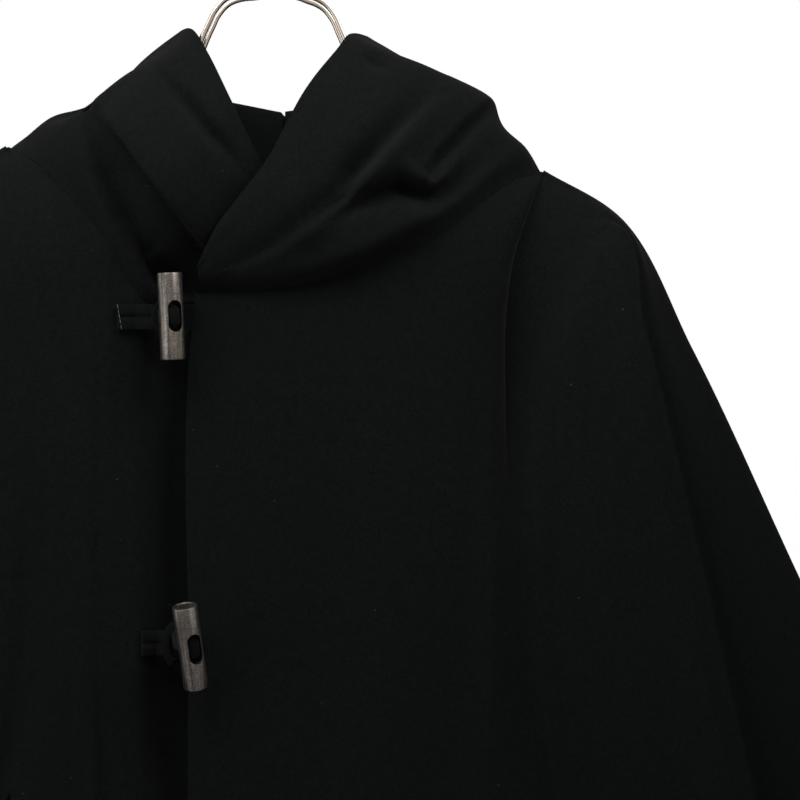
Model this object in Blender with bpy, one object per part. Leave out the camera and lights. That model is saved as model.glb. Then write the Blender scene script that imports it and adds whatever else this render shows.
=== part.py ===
"""A duffle coat that hangs on a two-rod hanger.

Metres, +Z up. The coat faces -Y, and the origin is the hook's inner top. Left and right in the names are
the wearer's. In the numbers, side +1 is +X (the wearer's left)."""

import math

import bpy
import numpy as np

CLOTH = 0.0026  # wall of the heavy wool
HOOD_CLOTH = 0.0032  # the hood is a little thicker
SEAM_GAP = 0.0004  # between two pieces that are sewn together
HOOD_EDGE = 0.0024  # the inside of the hood's lower edge is trimmed back by this, where it meets the panels
HEM_Z = -1.04
UNDERARM_Z = -0.63
RISE = 0.0155  # the hanger tilts, so the -X shoulder is this much higher
SHIFT = -0.003  # middle of the coat, in X
SHOULDER_ROUND = 0.09  # height over which the front rolls over the shoulder

# The tables' x and z were read off the photo on the plane of the fronts. What lies further back than
# that plane is moved out from the middle of the view, as far as distance makes it look smaller.
VIEW_X, VIEW_Z = 0.078, -0.334
VIEW_PLANE_Y = -0.060
VIEW_DISTANCE = 1.90
VIEW_BACK_Y = 0.020  # from here on the back keeps one scale

ARMHOLE_ROWS = 13  # rows of a panel from the neck seam to the level of the underarm
SKIRT_ROWS = 8  # rows from there to the hem
FRONT_COLUMNS = 20
BACK_COLUMNS = 27
SLEEVE_ROWS = 15
HOOD_FRONT_COLUMNS = 25
HOOD_BACK_COLUMNS = 12
HOOD_ROWS = 15

# Top of the shoulder, as x and z.
SHOULDER = (
    (0.0, -0.105), (0.05, -0.130), (0.10, -0.158), (0.13, -0.172), (0.1694, -0.1893), (0.2178, -0.2178),
)

# Body by height: z, x and y of the front's outer ridge, x and y of its end (armhole, then side seam).
BODY = (
    (-0.1893, 0.1670, -0.054, 0.1694, -0.034),
    (-0.2150, 0.1572, -0.055, 0.1596, -0.034),
    (-0.2400, 0.1488, -0.056, 0.1514, -0.034),
    (-0.2760, 0.1430, -0.057, 0.1458, -0.034),
    (-0.3300, 0.1415, -0.058, 0.1450, -0.033),
    (-0.4000, 0.1400, -0.060, 0.1470, -0.031),
    (-0.4800, 0.1375, -0.062, 0.1500, -0.028),
    (-0.5600, 0.1340, -0.064, 0.1570, -0.020),
    (-0.6300, 0.1340, -0.067, 0.1760, -0.0004),
    (-0.7200, 0.1370, -0.071, 0.2040, -0.0004),
    (-0.8600, 0.1450, -0.078, 0.2500, -0.0004),
    (-1.0400, 0.1600, -0.086, 0.3060, -0.0004),
)

# Fronts by height: z, x of the upper front's free edge, y of its face.
UPPER_FRONT = (
    (-0.2600, -0.0514, -0.0600),
    (-0.3000, -0.0555, -0.0605),
    (-0.5000, -0.0565, -0.0625),
    (-0.8000, -0.0580, -0.0740),
    (-1.0400, -0.0600, -0.0840),
)
UNDERLAP_X = 0.014  # free edge of the lower front
STEP_BACK = 0.0200  # how far it drops behind the upper front
STEP_X = (-0.058, -0.0715, -0.085, -0.100)  # end, foot, shoulder and start of that drop
ARM_AHEAD = 0.014  # the -X armhole lies this much further forward, level with its sleeve

# Neck seams as x and z: the two fronts and the back.
SEAM_UPPER = (
    (-0.0514, -0.2664), (-0.0200, -0.2655), (0.0074, -0.2622), (0.0419, -0.2553), (0.0660, -0.2464),
    (0.0933, -0.2356), (0.1107, -0.2241), (0.1365, -0.2036), (0.1521, -0.1940), (0.1694, -0.1893),
)
SEAM_LOWER = (
    (-0.1724, -0.1738), (-0.1580, -0.1800), (-0.1435, -0.1937), (-0.1310, -0.2061), (-0.1105, -0.2300),
    (-0.0972, -0.2537), (-0.0880, -0.2680), (-0.0600, -0.2760), (0.0140, -0.2790),
)
SEAM_BACK = ((0.0, -0.2050), (0.05, -0.2030), (0.11, -0.1970), (0.152, -0.1915), (0.1694, -0.1893))
BACK_FACE = ((-0.19, 0.052), (-0.30, 0.058), (-0.56, 0.064), (-0.85, 0.078), (-1.04, 0.088))

# Soft folds of the body: side of the coat (-1 front, +1 back), x at the top and at the hem, z where it
# starts, width and depth at the hem. A depth below 0 is a trough.
FLUTES = (
    ("front_centre", -1, 0.030, 0.050, -0.40, 0.030, 0.009),
    ("front_trough", -1, 0.080, 0.105, -0.46, 0.024, -0.011),
    ("front_lower", -1, -0.120, -0.130, -0.44, 0.024, 0.008),
    ("front_lower_trough", -1, -0.165, -0.200, -0.60, 0.024, -0.010),
    ("back_centre", 1, 0.010, 0.000, -0.42, 0.034, 0.014),
    ("back_left", 1, 0.075, 0.110, -0.38, 0.026, 0.011),
    ("back_left_trough", 1, 0.045, 0.058, -0.46, 0.020, -0.009),
    ("back_right", 1, -0.085, -0.125, -0.40, 0.028, 0.010),
    ("back_right_trough", 1, -0.045, -0.060, -0.44, 0.020, -0.010),
)

# Lines of the +X sleeve from the armhole to the cuff. The first number is the place round the sleeve,
# 0 on top and 0.5 under the arm. Then x, y and z at the shoulder tip, upper arm, elbow and cuff.
SLEEVE = (
    (0.000, (0.2178, 0.003, -0.2178), (0.2635, 0.010, -0.3020),
     (0.3315, 0.015, -0.4494), (0.4360, 0.018, -0.6680)),
    (0.035, (0.2172, -0.006, -0.2185), (0.2530, -0.002, -0.2990),
     (0.3080, 0.000, -0.4450), (0.3980, 0.000, -0.6780)),
    (0.070, (0.2165, -0.014, -0.2195), (0.2395, -0.018, -0.2920),
     (0.2770, -0.018, -0.4370), (0.3410, -0.016, -0.6900)),
    (0.110, (0.2140, -0.022, -0.2225), (0.2335, -0.042, -0.2890),
     (0.2680, -0.050, -0.4330), (0.3260, -0.054, -0.6950)),
    (0.180, (0.2020, -0.034, -0.2420), (0.2200, -0.050, -0.3120),
     (0.2520, -0.056, -0.4560), (0.3060, -0.061, -0.7030)),
    (0.260, (0.1790, -0.043, -0.2950), (0.2010, -0.052, -0.3700),
     (0.2310, -0.058, -0.5000), (0.2830, -0.060, -0.7130)),
    (0.340, (0.1640, -0.042, -0.3900), (0.1830, -0.051, -0.4600),
     (0.2110, -0.055, -0.5700), (0.2580, -0.054, -0.7300)),
    (0.420, (0.1590, -0.037, -0.5050), (0.1740, -0.043, -0.5600),
     (0.1980, -0.044, -0.6350), (0.2400, -0.038, -0.7450)),
    (0.500, (0.1815, 0.000, -0.6440), (0.1900, 0.000, -0.6650),
     (0.2040, 0.000, -0.6990), (0.2300, 0.000, -0.7560)),
    (0.580, (0.1590, 0.038, -0.5050), (0.1740, 0.045, -0.5600),
     (0.1990, 0.048, -0.6350), (0.2420, 0.044, -0.7450)),
    (0.660, (0.1640, 0.043, -0.3900), (0.1850, 0.053, -0.4600),
     (0.2140, 0.058, -0.5700), (0.2640, 0.060, -0.7290)),
    (0.740, (0.1790, 0.044, -0.2950), (0.2040, 0.055, -0.3700),
     (0.2380, 0.061, -0.5000), (0.2950, 0.064, -0.7100)),
    (0.820, (0.2020, 0.036, -0.2420), (0.2270, 0.052, -0.3120),
     (0.2680, 0.060, -0.4560), (0.3320, 0.064, -0.6960)),
    (0.890, (0.2140, 0.026, -0.2225), (0.2440, 0.044, -0.2940),
     (0.2960, 0.054, -0.4430), (0.3740, 0.060, -0.6850)),
    (0.950, (0.2172, 0.013, -0.2185), (0.2580, 0.026, -0.2990),
     (0.3220, 0.034, -0.4460), (0.4180, 0.040, -0.6730)),
)
SLEEVE_STATIONS = (0.0, 0.11, 0.28, 0.56, 1.0)

# Front part of each hood half: place from the front end, x on the neck seam, rim x y z, bulge x y z.
HOOD_FRONT = {
    1: (
        (0.00, -0.0510, (-0.0498, -0.0685, -0.2480), (0.000, -0.003, 0.000)),
        (0.06, -0.0200, (-0.0400, -0.0720, -0.2265), (0.000, -0.007, 0.000)),
        (0.14, 0.0250, (-0.0245, -0.0730, -0.2055), (0.000, -0.013, 0.000)),
        (0.22, 0.0660, (-0.0060, -0.0710, -0.1810), (0.002, -0.018, 0.000)),
        (0.31, 0.1107, (0.0165, -0.0570, -0.1395), (0.004, -0.020, 0.002)),
        (0.41, 0.1521, (0.0370, -0.0300, -0.1130), (0.010, -0.014, 0.010)),
    ),
    -1: (
        (0.00, 0.0130, (0.0120, -0.0470, -0.2640), (0.000, -0.001, 0.000)),
        (0.07, -0.0300, (0.0040, -0.0500, -0.2250), (0.000, -0.003, 0.000)),
        (0.15, -0.0650, (-0.0085, -0.0520, -0.1871), (0.000, -0.007, 0.000)),
        (0.23, -0.0900, (-0.0180, -0.0540, -0.1680), (-0.003, -0.012, 0.000)),
        (0.31, -0.1080, (-0.0290, -0.0510, -0.1450), (-0.004, -0.018, 0.002)),
        (0.41, -0.1400, (-0.0430, -0.0300, -0.1160), (-0.008, -0.014, 0.006)),
    ),
}
# Side and back of the hood: place, x on the seam, then rise, roll, inner fall, bottom, outer fall and rim.
HOOD_SIDE = {
    1: (
        (0.1580, -0.1745), (0.1430, -0.1600), (0.1352, -0.1415), (0.1039, -0.1276), (0.0743, -0.1137),
        (0.0487, -0.1010),
    ),
    -1: (
        (-0.1590, -0.1670), (-0.1445, -0.1530), (-0.1230, -0.1430), (-0.0997, -0.1285), (-0.0760, -0.1140),
        (-0.0555, -0.0979),
    ),
}
HOOD_BACK = (
    (0.68, 0.1350, (0.1200, 0.040, -0.1640), (0.0950, 0.038, -0.1340), (0.1060, 0.054, -0.1520),
     (0.1180, 0.070, -0.1800), (0.1040, 0.074, -0.1420), (0.0700, 0.056, -0.1130)),
    (0.84, 0.0800, (0.0740, 0.056, -0.1720), (0.0600, 0.058, -0.1420), (0.0780, 0.076, -0.2150),
     (0.0960, 0.094, -0.3080), (0.0860, 0.110, -0.2200), (0.0520, 0.094, -0.1400)),
    (1.00, 0.0002, (0.0002, 0.0620, -0.1750), (0.0002, 0.0730, -0.1500), (0.0002, 0.0860, -0.2600),
     (0.0002, 0.1000, -0.3620), (0.0002, 0.1260, -0.2700), (0.0002, 0.1180, -0.1530)),
)
HOOD_STATIONS = (0.0, 0.12, 0.25, 0.45, 0.65, 0.85, 1.0)

# Folds of the hood's front: side, start and end as x and z, width, how far out.
HOOD_FOLDS = (
    ("dimple", 1, (0.0590, -0.1162), (0.0690, -0.1226), 0.0090, -0.0040),
    ("long_valley_top", 1, (0.0984, -0.1397), (0.0520, -0.1860), 0.0105, -0.0090),
    ("long_valley_foot", 1, (0.0520, -0.1860), (-0.0200, -0.2430), 0.0105, -0.0075),
    ("long_ridge", 1, (0.0900, -0.1530), (0.0480, -0.1960), 0.0095, 0.0045),
    ("under_corner", 1, (0.1300, -0.1500), (0.0933, -0.1829), 0.0095, -0.0080),
    ("v_ridge_left", 1, (0.0851, -0.1860), (0.0984, -0.1968), 0.0090, 0.0040),
    ("v_ridge_right", 1, (0.0984, -0.1968), (0.1105, -0.1829), 0.0090, 0.0050),
    ("hollow_left", 1, (0.0419, -0.2190), (0.0762, -0.2010), 0.0125, -0.0085),
    ("hollow_right", 1, (0.0762, -0.2010), (0.1200, -0.1930), 0.0115, -0.0070),
    ("low_band_top", 1, (0.1480, -0.1800), (0.1105, -0.2080), 0.0100, 0.0045),
    ("low_band_foot", 1, (0.1105, -0.2080), (0.0300, -0.2460), 0.0100, 0.0050),
    ("roll_top", -1, (-0.1150, -0.1450), (-0.0942, -0.1597), 0.0100, 0.0110),
    ("roll_foot", -1, (-0.0942, -0.1597), (-0.0560, -0.2170), 0.0110, 0.0140),
    ("recess_top", -1, (-0.1300, -0.1640), (-0.1010, -0.1930), 0.0110, -0.0120),
    ("recess_foot", -1, (-0.1010, -0.1930), (-0.0660, -0.2440), 0.0120, -0.0140),
    ("rim_valley", -1, (-0.0781, -0.1232), (-0.0400, -0.1700), 0.0095, -0.0065),
)
RIM_ROLL = 0.0030  # the rim's turned edge stands out by this much

TOGGLE_LENGTH = 0.0565
TOGGLE_RADIUS = 0.00825
TOGGLE_EDGE = 0.0012
TOGGLE_HOLE = (0.0090, 0.0200)  # width and height of the oval
STRAP_NECK = (0.0078, 0.0140)  # the strap where it goes through loop and toggle
STRAP_HEIGHT = 0.0160
STRAP_THICK = 0.0030
STRAP_REACH = -0.0672  # y of the strap's face behind the toggle
LOOP_THICK = 0.0024

# One row for each fastening: centre of the toggle, lean, tip to the viewer and turn of its hole in degrees,
# x of the strap's sewn end, then the loop: x of its round end, height, width of the band, roundness.
FASTENINGS = (
    ("1", (-0.0657, -0.0800, -0.2813), 2.3, 2.0, 15.0, -0.1010, (-0.0792, 0.0250, 0.0040, 0.85)),
    ("2", (-0.0546, -0.0840, -0.4902), 7.0, 16.0, 17.0, -0.0850, (-0.0726, 0.0295, 0.0050, 0.55)),
)

ROD_RADIUS = 0.0020
ROD_SPREAD = 0.0060  # each rod is this far from the middle
# Middle line of the rods on +X, as x and z.
HANGER = (
    (0.0000, -0.0770), (0.0170, -0.0775), (0.0290, -0.0820), (0.0366, -0.0905), (0.0418, -0.1020),
    (0.0545, -0.1300), (0.0800, -0.1560), (0.1250, -0.1800), (0.1650, -0.1995), (0.1880, -0.2115),
)
HOOK_RADIUS = 0.00225
HOOK_BEND = 0.0220  # inside radius of the hook
SIDES_OF_ROD = 8

WOOL = (0.010, 0.0105, 0.011)
METAL = (0.20, 0.18, 0.16)
CHROME = (0.62, 0.62, 0.63)


def smooth(knots, values, at):
    """Values at the given places on a smooth curve through those at the knots."""
    knots = np.asarray(knots, float)
    values = np.asarray(values, float)
    at = np.clip(np.asarray(at, float), knots[0], knots[-1])
    slopes = np.gradient(values, knots, axis=0)
    i = np.clip(np.searchsorted(knots, at, side="right") - 1, 0, len(knots) - 2)
    step = knots[i + 1] - knots[i]
    f = (at - knots[i]) / step
    if values.ndim > 1:
        grow = (...,) + (None,) * (values.ndim - 1)
        f, step = f[grow], step[grow]
    start, end = values[i], values[i + 1]
    return (
        (2 * f**3 - 3 * f**2 + 1) * start
        + (f**3 - 2 * f**2 + f) * step * slopes[i]
        + (3 * f**2 - 2 * f**3) * end
        + (f**3 - f**2) * step * slopes[i + 1]
    )


def by_height(table, z):
    """The table's other columns at height z."""
    table = np.asarray(table, float)
    return smooth(-table[:, 0], table[:, 1:], -np.asarray(z, float))


def by_x(table, x):
    table = np.asarray(table, float)
    return np.interp(x, table[:, 0], table[:, 1])


def ease(low, high, value):
    f = np.clip((value - low) / (high - low), 0, 1)
    return f * f * (3 - 2 * f)


def seen(points):
    """Points read off the photo on the plane of the fronts, moved to their own depth."""
    points = np.asarray(points, float)
    scale = 1 + (np.minimum(points[..., 1], VIEW_BACK_Y) - VIEW_PLANE_Y) / VIEW_DISTANCE
    x = VIEW_X + (points[..., 0] - VIEW_X) * scale
    z = VIEW_Z + (points[..., 2] - VIEW_Z) * scale
    return np.stack([x, points[..., 1], z], axis=-1)


def rise(x):
    """How much higher the coat is at this x than the +X side is."""
    return RISE * np.clip(-np.asarray(x) / 0.17, 0, 1)


def shoulder_roll(x, z):
    """0 on top of the shoulder, 1 where the panel hangs straight down."""
    top = by_x(SHOULDER, np.abs(x)) + rise(x)
    h = np.clip((top - z) / SHOULDER_ROUND, 0.02, 1)
    return np.sqrt(1 - (1 - h) ** 2)


def flutes(face, x, z):
    """How far the body's soft folds stand out at x and z."""
    out = np.zeros(np.shape(x))
    for _, on, top_x, hem_x, start_z, width, depth in FLUTES:
        if on != face:
            continue
        down = np.clip((start_z - z) / (start_z - HEM_Z), 0, 1)
        line = top_x + (hem_x - top_x) * down
        out = out + depth * down**1.3 * np.exp(-(((x - line) / (width * (0.6 + 0.4 * down))) ** 2))
    return out


def mirrored(x, side):
    return x if side > 0 else -x + SHIFT


def side_of_body(side, z):
    """Ridge and end of the body's front at height z: x, y, x, y."""
    level = z if side > 0 else z - RISE
    ridge_x, ridge_y, end_x, end_y = by_height(BODY, level)
    return mirrored(ridge_x, side), ridge_y, mirrored(end_x, side), min(end_y, -SEAM_GAP / 2)


def section_of_front(side, z, s):
    """x and y of a front at height z. s goes from its free edge, 0, to the armhole or side seam, 1."""
    ridge_x, ridge_y, end_x, end_y = side_of_body(side, z)
    edge_x, face_y = by_height(UPPER_FRONT, z)
    low = ease(-0.58, -0.74, z)
    ahead = 0.0 if side > 0 else ease(-0.19, -0.25, z) * (1 - ease(-0.44, -0.60, z))
    end_y = end_y - ARM_AHEAD * ahead
    if side > 0:
        start = [(0.0, edge_x, face_y + 0.0008), (0.06, edge_x + 0.008, face_y), (0.35, 0.02, face_y - 0.001)]
    else:
        end, foot, top, first = STEP_X
        under = face_y + STEP_BACK
        start = [
            (0.0, UNDERLAP_X, under),
            (0.16, end, under),
            (0.24, foot, under - 0.004),
            (0.32, top, face_y + 0.005),
            (0.42, first, face_y + 0.0015),
            (0.62, -0.112, face_y + 0.0002),
        ]
    rest = [
        (0.80, ridge_x - side * 0.016, ridge_y - 0.0015),
        (0.87, ridge_x - side * 0.002, ridge_y + 0.0035),
        (0.93, ridge_x + (end_x - ridge_x) * 0.45, ridge_y + (end_y - ridge_y) * (0.52 - 0.20 * low)),
        (0.97, end_x - side * (0.0004 + 0.008 * low), end_y - 0.006 - 0.006 * low + 0.0055 * ahead),
        (1.0, end_x, end_y),
    ]
    points = np.array(start + rest)
    x, y = smooth(points[:, 0], points[:, 1:], s).T
    y = y * shoulder_roll(x, z) - flutes(-1, x, z) * (1 - ease(0.90, 1.0, s))
    return x, np.minimum(y, -SEAM_GAP / 2)


def section_of_back(z, s):
    """x and y of the back at height z. s goes from the -X end, -1, to the +X end, 1."""
    out = np.empty((len(s), 2))
    face_y = float(by_height(BACK_FACE, z)[0])
    for side in (-1, 1):
        ridge_x, ridge_y, end_x, end_y = side_of_body(side, z)
        low = ease(-0.58, -0.74, z)
        points = np.array([
            (0.0, SHIFT / 2, face_y),
            (0.4, ridge_x * 0.45, face_y - 0.0005),
            (0.74, ridge_x - side * 0.020, -ridge_y - 0.001),
            (0.84, ridge_x - side * 0.003, -ridge_y - 0.005),
            (0.92, ridge_x + (end_x - ridge_x) * 0.45, -ridge_y - (end_y - ridge_y) * (0.52 - 0.20 * low)),
            (0.965, end_x - side * (0.0004 + 0.008 * low), -end_y + 0.006 + 0.006 * low),
            (1.0, end_x, -end_y),
        ])
        here = (s <= 0) if side < 0 else (s > 0)
        out[here] = smooth(points[:, 0], points[:, 1:], np.abs(s[here]))
    x, y = out.T
    y = y * shoulder_roll(x, z) + flutes(1, x, z) * (1 - ease(0.90, 1.0, np.abs(s)))
    return x, np.maximum(y, SEAM_GAP / 2)


def seam_of_back(x):
    return by_x(SEAM_BACK, np.abs(x)) + rise(x)


def panel(section, seam, s, underarm):
    """Outer points of a panel: rows from the neck seam to the hem, columns along s."""
    top = np.full(len(s), -0.24)
    for _ in range(12):
        x = np.array([section(z, s)[0][i] for i, z in enumerate(top)])
        top = 0.5 * (top + seam(x))
    rows = []
    for f in np.linspace(0, 1, ARMHOLE_ROWS) ** 1.25:
        rows.append(top + (underarm - top) * f)
    for f in np.linspace(0, 1, SKIRT_ROWS + 1)[1:]:
        rows.append(underarm + (HEM_Z - underarm) * f)
    points = np.empty((len(rows), len(s), 3))
    for r, heights in enumerate(rows):
        for c, z in enumerate(heights):
            x, y = section(z, s)
            points[r, c] = x[c], y[c], z
    return points


def front_points(side):
    s = np.linspace(0, 1, FRONT_COLUMNS)
    table = SEAM_UPPER if side > 0 else SEAM_LOWER
    underarm = np.full(len(s), UNDERARM_Z if side > 0 else UNDERARM_Z + RISE)
    return panel(lambda z, at: section_of_front(side, z, at), lambda x: by_x(table, x), s, underarm)


def back_points():
    s = np.linspace(-1, 1, BACK_COLUMNS)
    underarm = UNDERARM_Z + RISE * (1 - s) / 2
    return panel(section_of_back, seam_of_back, s, underarm)


def sleeve_points(side, front, back):
    """Outer points of a sleeve: rows from the panels' own edges to the cuff, columns once round."""
    last = ARMHOLE_ROWS
    front_edge = front[:last, -1]
    back_edge = back[:last, -1 if side > 0 else 0]
    crown = (front_edge[0] + back_edge[0]) / 2 + np.array([0, 0, 0.0012])
    armhole = np.concatenate([crown[None], front_edge, back_edge[-2::-1]])
    half = np.linspace(0, 0.5, last + 1)[1:]
    turns = np.concatenate([[0], half, 1 - half[-2::-1]])
    table = np.array([[row[0], *row[1], *row[2], *row[3], *row[4]] for row in SLEEVE])
    closed = np.vstack([table, [[1.0, *table[0, 1:]]]])
    lines = smooth(closed[:, 0], closed[:, 1:], turns).reshape(len(turns), 4, 3)
    if side < 0:
        lines = lines * np.array([-1, 1, 1]) + np.array([SHIFT, 0, RISE])
    stations = np.concatenate([armhole[:, None], lines], axis=1).transpose(1, 0, 2)
    places = np.linspace(0, 1, SLEEVE_ROWS) ** 1.15
    points = smooth(SLEEVE_STATIONS, stations, places)
    along = points[1] - points[0]
    points[0] += SEAM_GAP * along / np.linalg.norm(along, axis=1)[:, None]
    return points


def on_edge(edge, x):
    """The point of a panel's top edge at this x."""
    edge = edge[np.argsort(edge[:, 0])]
    return np.array([x, np.interp(x, edge[:, 0], edge[:, 1]), np.interp(x, edge[:, 0], edge[:, 2])])


def hood_rows(side, front):
    """Places round the hood half, x on the seam, and its six outer stations at each place."""
    rows = []
    v = np.array(HOOD_STATIONS[1:])[:, None]
    for place, seam_x, rim, bulge in HOOD_FRONT[side]:
        seam = on_edge(front[0], seam_x)
        middle = (seam + np.array(rim)) / 2 + np.array(bulge)
        line = seam * (1 - v) * (1 - 2 * v) + middle * 4 * v * (1 - v) + np.array(rim) * v * (2 * v - 1)
        rows.append((place, seam_x, line))
    top_x = 0.1694 if side > 0 else -0.1724
    rows.append((0.54, top_x, np.array([(x, 0.0, z) for x, z in HOOD_SIDE[side]])))
    for place, seam_x, *stations in HOOD_BACK:
        line = np.array(stations)
        if side < 0:
            lift = RISE * np.clip(line[:, 0] / 0.17, 0, 1) * np.array([1, 0.7, 0.5, 0.5, 0.5, 0.2])
            line = line * np.array([-1, 1, 1])
            line[:, 2] += lift
            seam_x = -seam_x
        rows.append((place, seam_x, line))
    return rows


def hood_points(side, front, back):
    """Outer points of a hood half: rows from neck seam to rim, columns from front end to centre back."""
    rows = hood_rows(side, front)
    places = [row[0] for row in rows]
    to_side = np.linspace(0, 0.54, HOOD_FRONT_COLUMNS)
    to_back = np.linspace(0.54, 1, HOOD_BACK_COLUMNS + 1)
    u = np.concatenate([to_side, to_back[1:]])
    seam_x = np.interp(u, places, [row[1] for row in rows])
    seam = np.array([on_edge((front if place <= 0.54 else back)[0], x) for place, x in zip(u, seam_x)])
    lines = smooth(places, np.array([row[2] for row in rows]), u)
    stations = np.concatenate([seam[:, None], lines], axis=1).transpose(1, 0, 2)
    v = np.linspace(0, 1, HOOD_ROWS)
    points = smooth(HOOD_STATIONS, stations, v)
    points[:, -1, 0] = side * SEAM_GAP / 2
    points = points + hood_folds(side, points, v)
    along = points[1] - points[0]
    points[0] += 2.0 * SEAM_GAP * along / np.linalg.norm(along, axis=1)[:, None]
    return points


def distance_to_line(x, z, start, end):
    start, end = np.array(start), np.array(end)
    along = end - start
    f = np.clip(((x - start[0]) * along[0] + (z - start[1]) * along[1]) / (along @ along), 0, 1)
    return np.hypot(x - start[0] - f * along[0], z - start[1] - f * along[1])


def hood_folds(side, points, v):
    """Moves out or in at each point of the hood's front."""
    x, y, z = points[..., 0], points[..., 1], points[..., 2]
    out = np.zeros(x.shape)
    for _, on, start, end, width, depth in HOOD_FOLDS:
        if on == side:
            out += depth * np.exp(-((distance_to_line(x, z, start, end) / width) ** 2))
    out += RIM_ROLL * np.exp(-(((1 - v[:, None]) / 0.12) ** 2))
    front = ease(0.0, -0.03, y)
    hold = ease(0.0, 0.14, v)[:, None] * (1 - 0.6 * ease(0.86, 1.0, v)[:, None])
    return normals(points, side) * (out * front * hold)[..., None]


def normals(points, side, wrap=False):
    """Outward unit normals of a grid."""
    if wrap:
        across = np.roll(points, -1, axis=1) - np.roll(points, 1, axis=1)
    else:
        across = np.gradient(points, axis=1)
    found = np.cross(across, np.gradient(points, axis=0)) * side
    return found / np.linalg.norm(found, axis=2)[..., None]


def softened(vectors, wrap=False, times=2):
    """Unit vectors averaged with their neighbours, so that the inside of a tight fold stays clean."""
    for _ in range(times):
        if wrap:
            sides = np.roll(vectors, 1, axis=1) + np.roll(vectors, -1, axis=1)
        else:
            wide = np.concatenate([vectors[:, :1], vectors, vectors[:, -1:]], axis=1)
            sides = wide[:, :-2] + wide[:, 2:]
        tall = np.concatenate([vectors[:1], vectors, vectors[-1:]])
        vectors = 2 * vectors + sides + tall[:-2] + tall[2:]
        vectors = vectors / np.linalg.norm(vectors, axis=2)[..., None]
    return vectors


def material(name, colour, metallic, roughness):
    made = bpy.data.materials.new(name)
    made.use_nodes = True
    shader = made.node_tree.nodes["Principled BSDF"]
    shader.inputs["Base Color"].default_value = (*colour, 1.0)
    shader.inputs["Metallic"].default_value = metallic
    shader.inputs["Roughness"].default_value = roughness
    return made


def add_object(name, points, faces, look):
    mesh = bpy.data.meshes.new(name)
    mesh.from_pydata([tuple(map(float, p)) for p in points], [], faces)
    mesh.update()
    made = bpy.data.objects.new(name, mesh)
    bpy.context.scene.collection.objects.link(made)
    made.data.materials.append(material(name, *look))
    return made


def quads_of(rows, columns, wrap):
    faces = []
    for r in range(rows - 1):
        a, b = r * columns, (r + 1) * columns
        for c in range(columns if wrap else columns - 1):
            d = (c + 1) % columns
            faces.append((a + c, a + d, b + d, b + c))
    return faces


def wall(name, outer, thickness, side, look, wrap=False, keep=0, middle=False):
    """A closed solid between the outer points and the same points moved in by the thickness.

    keep is -1 or +1 for a panel that stays before or behind the middle plane, where its neighbour is.
    middle is for one whose last columns stay on their own side of centre back."""
    rows, columns = outer.shape[:2]
    total = rows * columns
    inner = outer - thickness * softened(normals(outer, side, wrap), wrap)
    if keep:
        inner[..., 1] = keep * np.maximum(keep * inner[..., 1], SEAM_GAP / 2)
    if middle:
        outer[:, -1, 0] = side * SEAM_GAP / 2
        inner[:, -4:, 0] = side * np.maximum(side * inner[:, -4:, 0], SEAM_GAP / 2)
        along = outer[1] - outer[0]
        inner[0] += HOOD_EDGE * along / np.linalg.norm(along, axis=1)[:, None]
    front = quads_of(rows, columns, wrap)
    back = [tuple(i + total for i in reversed(face)) for face in front]
    rims = []
    for c in range(columns if wrap else columns - 1):
        d = (c + 1) % columns
        rims.append((d, c, c + total, d + total))
        a, b = (rows - 1) * columns + c, (rows - 1) * columns + d
        rims.append((a, b, b + total, a + total))
    if not wrap:
        for r in range(rows - 1):
            a, b = r * columns, (r + 1) * columns
            rims.append((a, b, b + total, a + total))
            a, b = a + columns - 1, b + columns - 1
            rims.append((b, a, a + total, b + total))
    faces = front + back + rims
    if side < 0:
        faces = [tuple(reversed(face)) for face in faces]
    points = np.concatenate([outer.reshape(-1, 3), inner.reshape(-1, 3)])
    return add_object(name, points, [tuple(int(i) for i in face) for face in faces], look)


def tube(name, path, radius, look, closed=False):
    """A round rod along a path, with flat ends or closed on itself."""
    path = np.asarray(path, float)
    if closed:
        along = np.roll(path, -1, axis=0) - np.roll(path, 1, axis=0)
    else:
        along = np.gradient(path, axis=0)
    along /= np.linalg.norm(along, axis=1)[:, None]
    side = np.cross(along, np.array([0.0, 1.0, 0.02]))
    side /= np.linalg.norm(side, axis=1)[:, None]
    up = np.cross(side, along)
    angles = np.arange(SIDES_OF_ROD) * 2 * math.pi / SIDES_OF_ROD
    points = []
    for p, s, t in zip(path, side, up):
        points += [p + radius * (math.cos(a) * s + math.sin(a) * t) for a in angles]
    n = SIDES_OF_ROD
    faces = []
    for r in range(len(path) if closed else len(path) - 1):
        after = (r + 1) % len(path)
        for c in range(n):
            d = (c + 1) % n
            faces.append((r * n + c, r * n + d, after * n + d, after * n + c))
    if not closed:
        faces.append(tuple(range(n))[::-1])
        faces.append(tuple(range((len(path) - 1) * n, len(path) * n)))
    return add_object(name, points, faces, look)


def turned(centre, lean, tip, turn):
    """Rotation for a toggle: lean in the picture plane, tip to the viewer, turn about its own length."""
    a, b, c = (math.radians(v) for v in (lean, tip, turn))
    about_y = np.array([(math.cos(a), 0, -math.sin(a)), (0, 1, 0), (math.sin(a), 0, math.cos(a))])
    about_x = np.array([(1, 0, 0), (0, math.cos(b), -math.sin(b)), (0, math.sin(b), math.cos(b))])
    about_z = np.array([(math.cos(c), -math.sin(c), 0), (math.sin(c), math.cos(c), 0), (0, 0, 1)])
    rotation = about_y @ about_x @ about_z
    return lambda points: np.asarray(points) @ rotation.T + np.array(centre)


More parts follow.
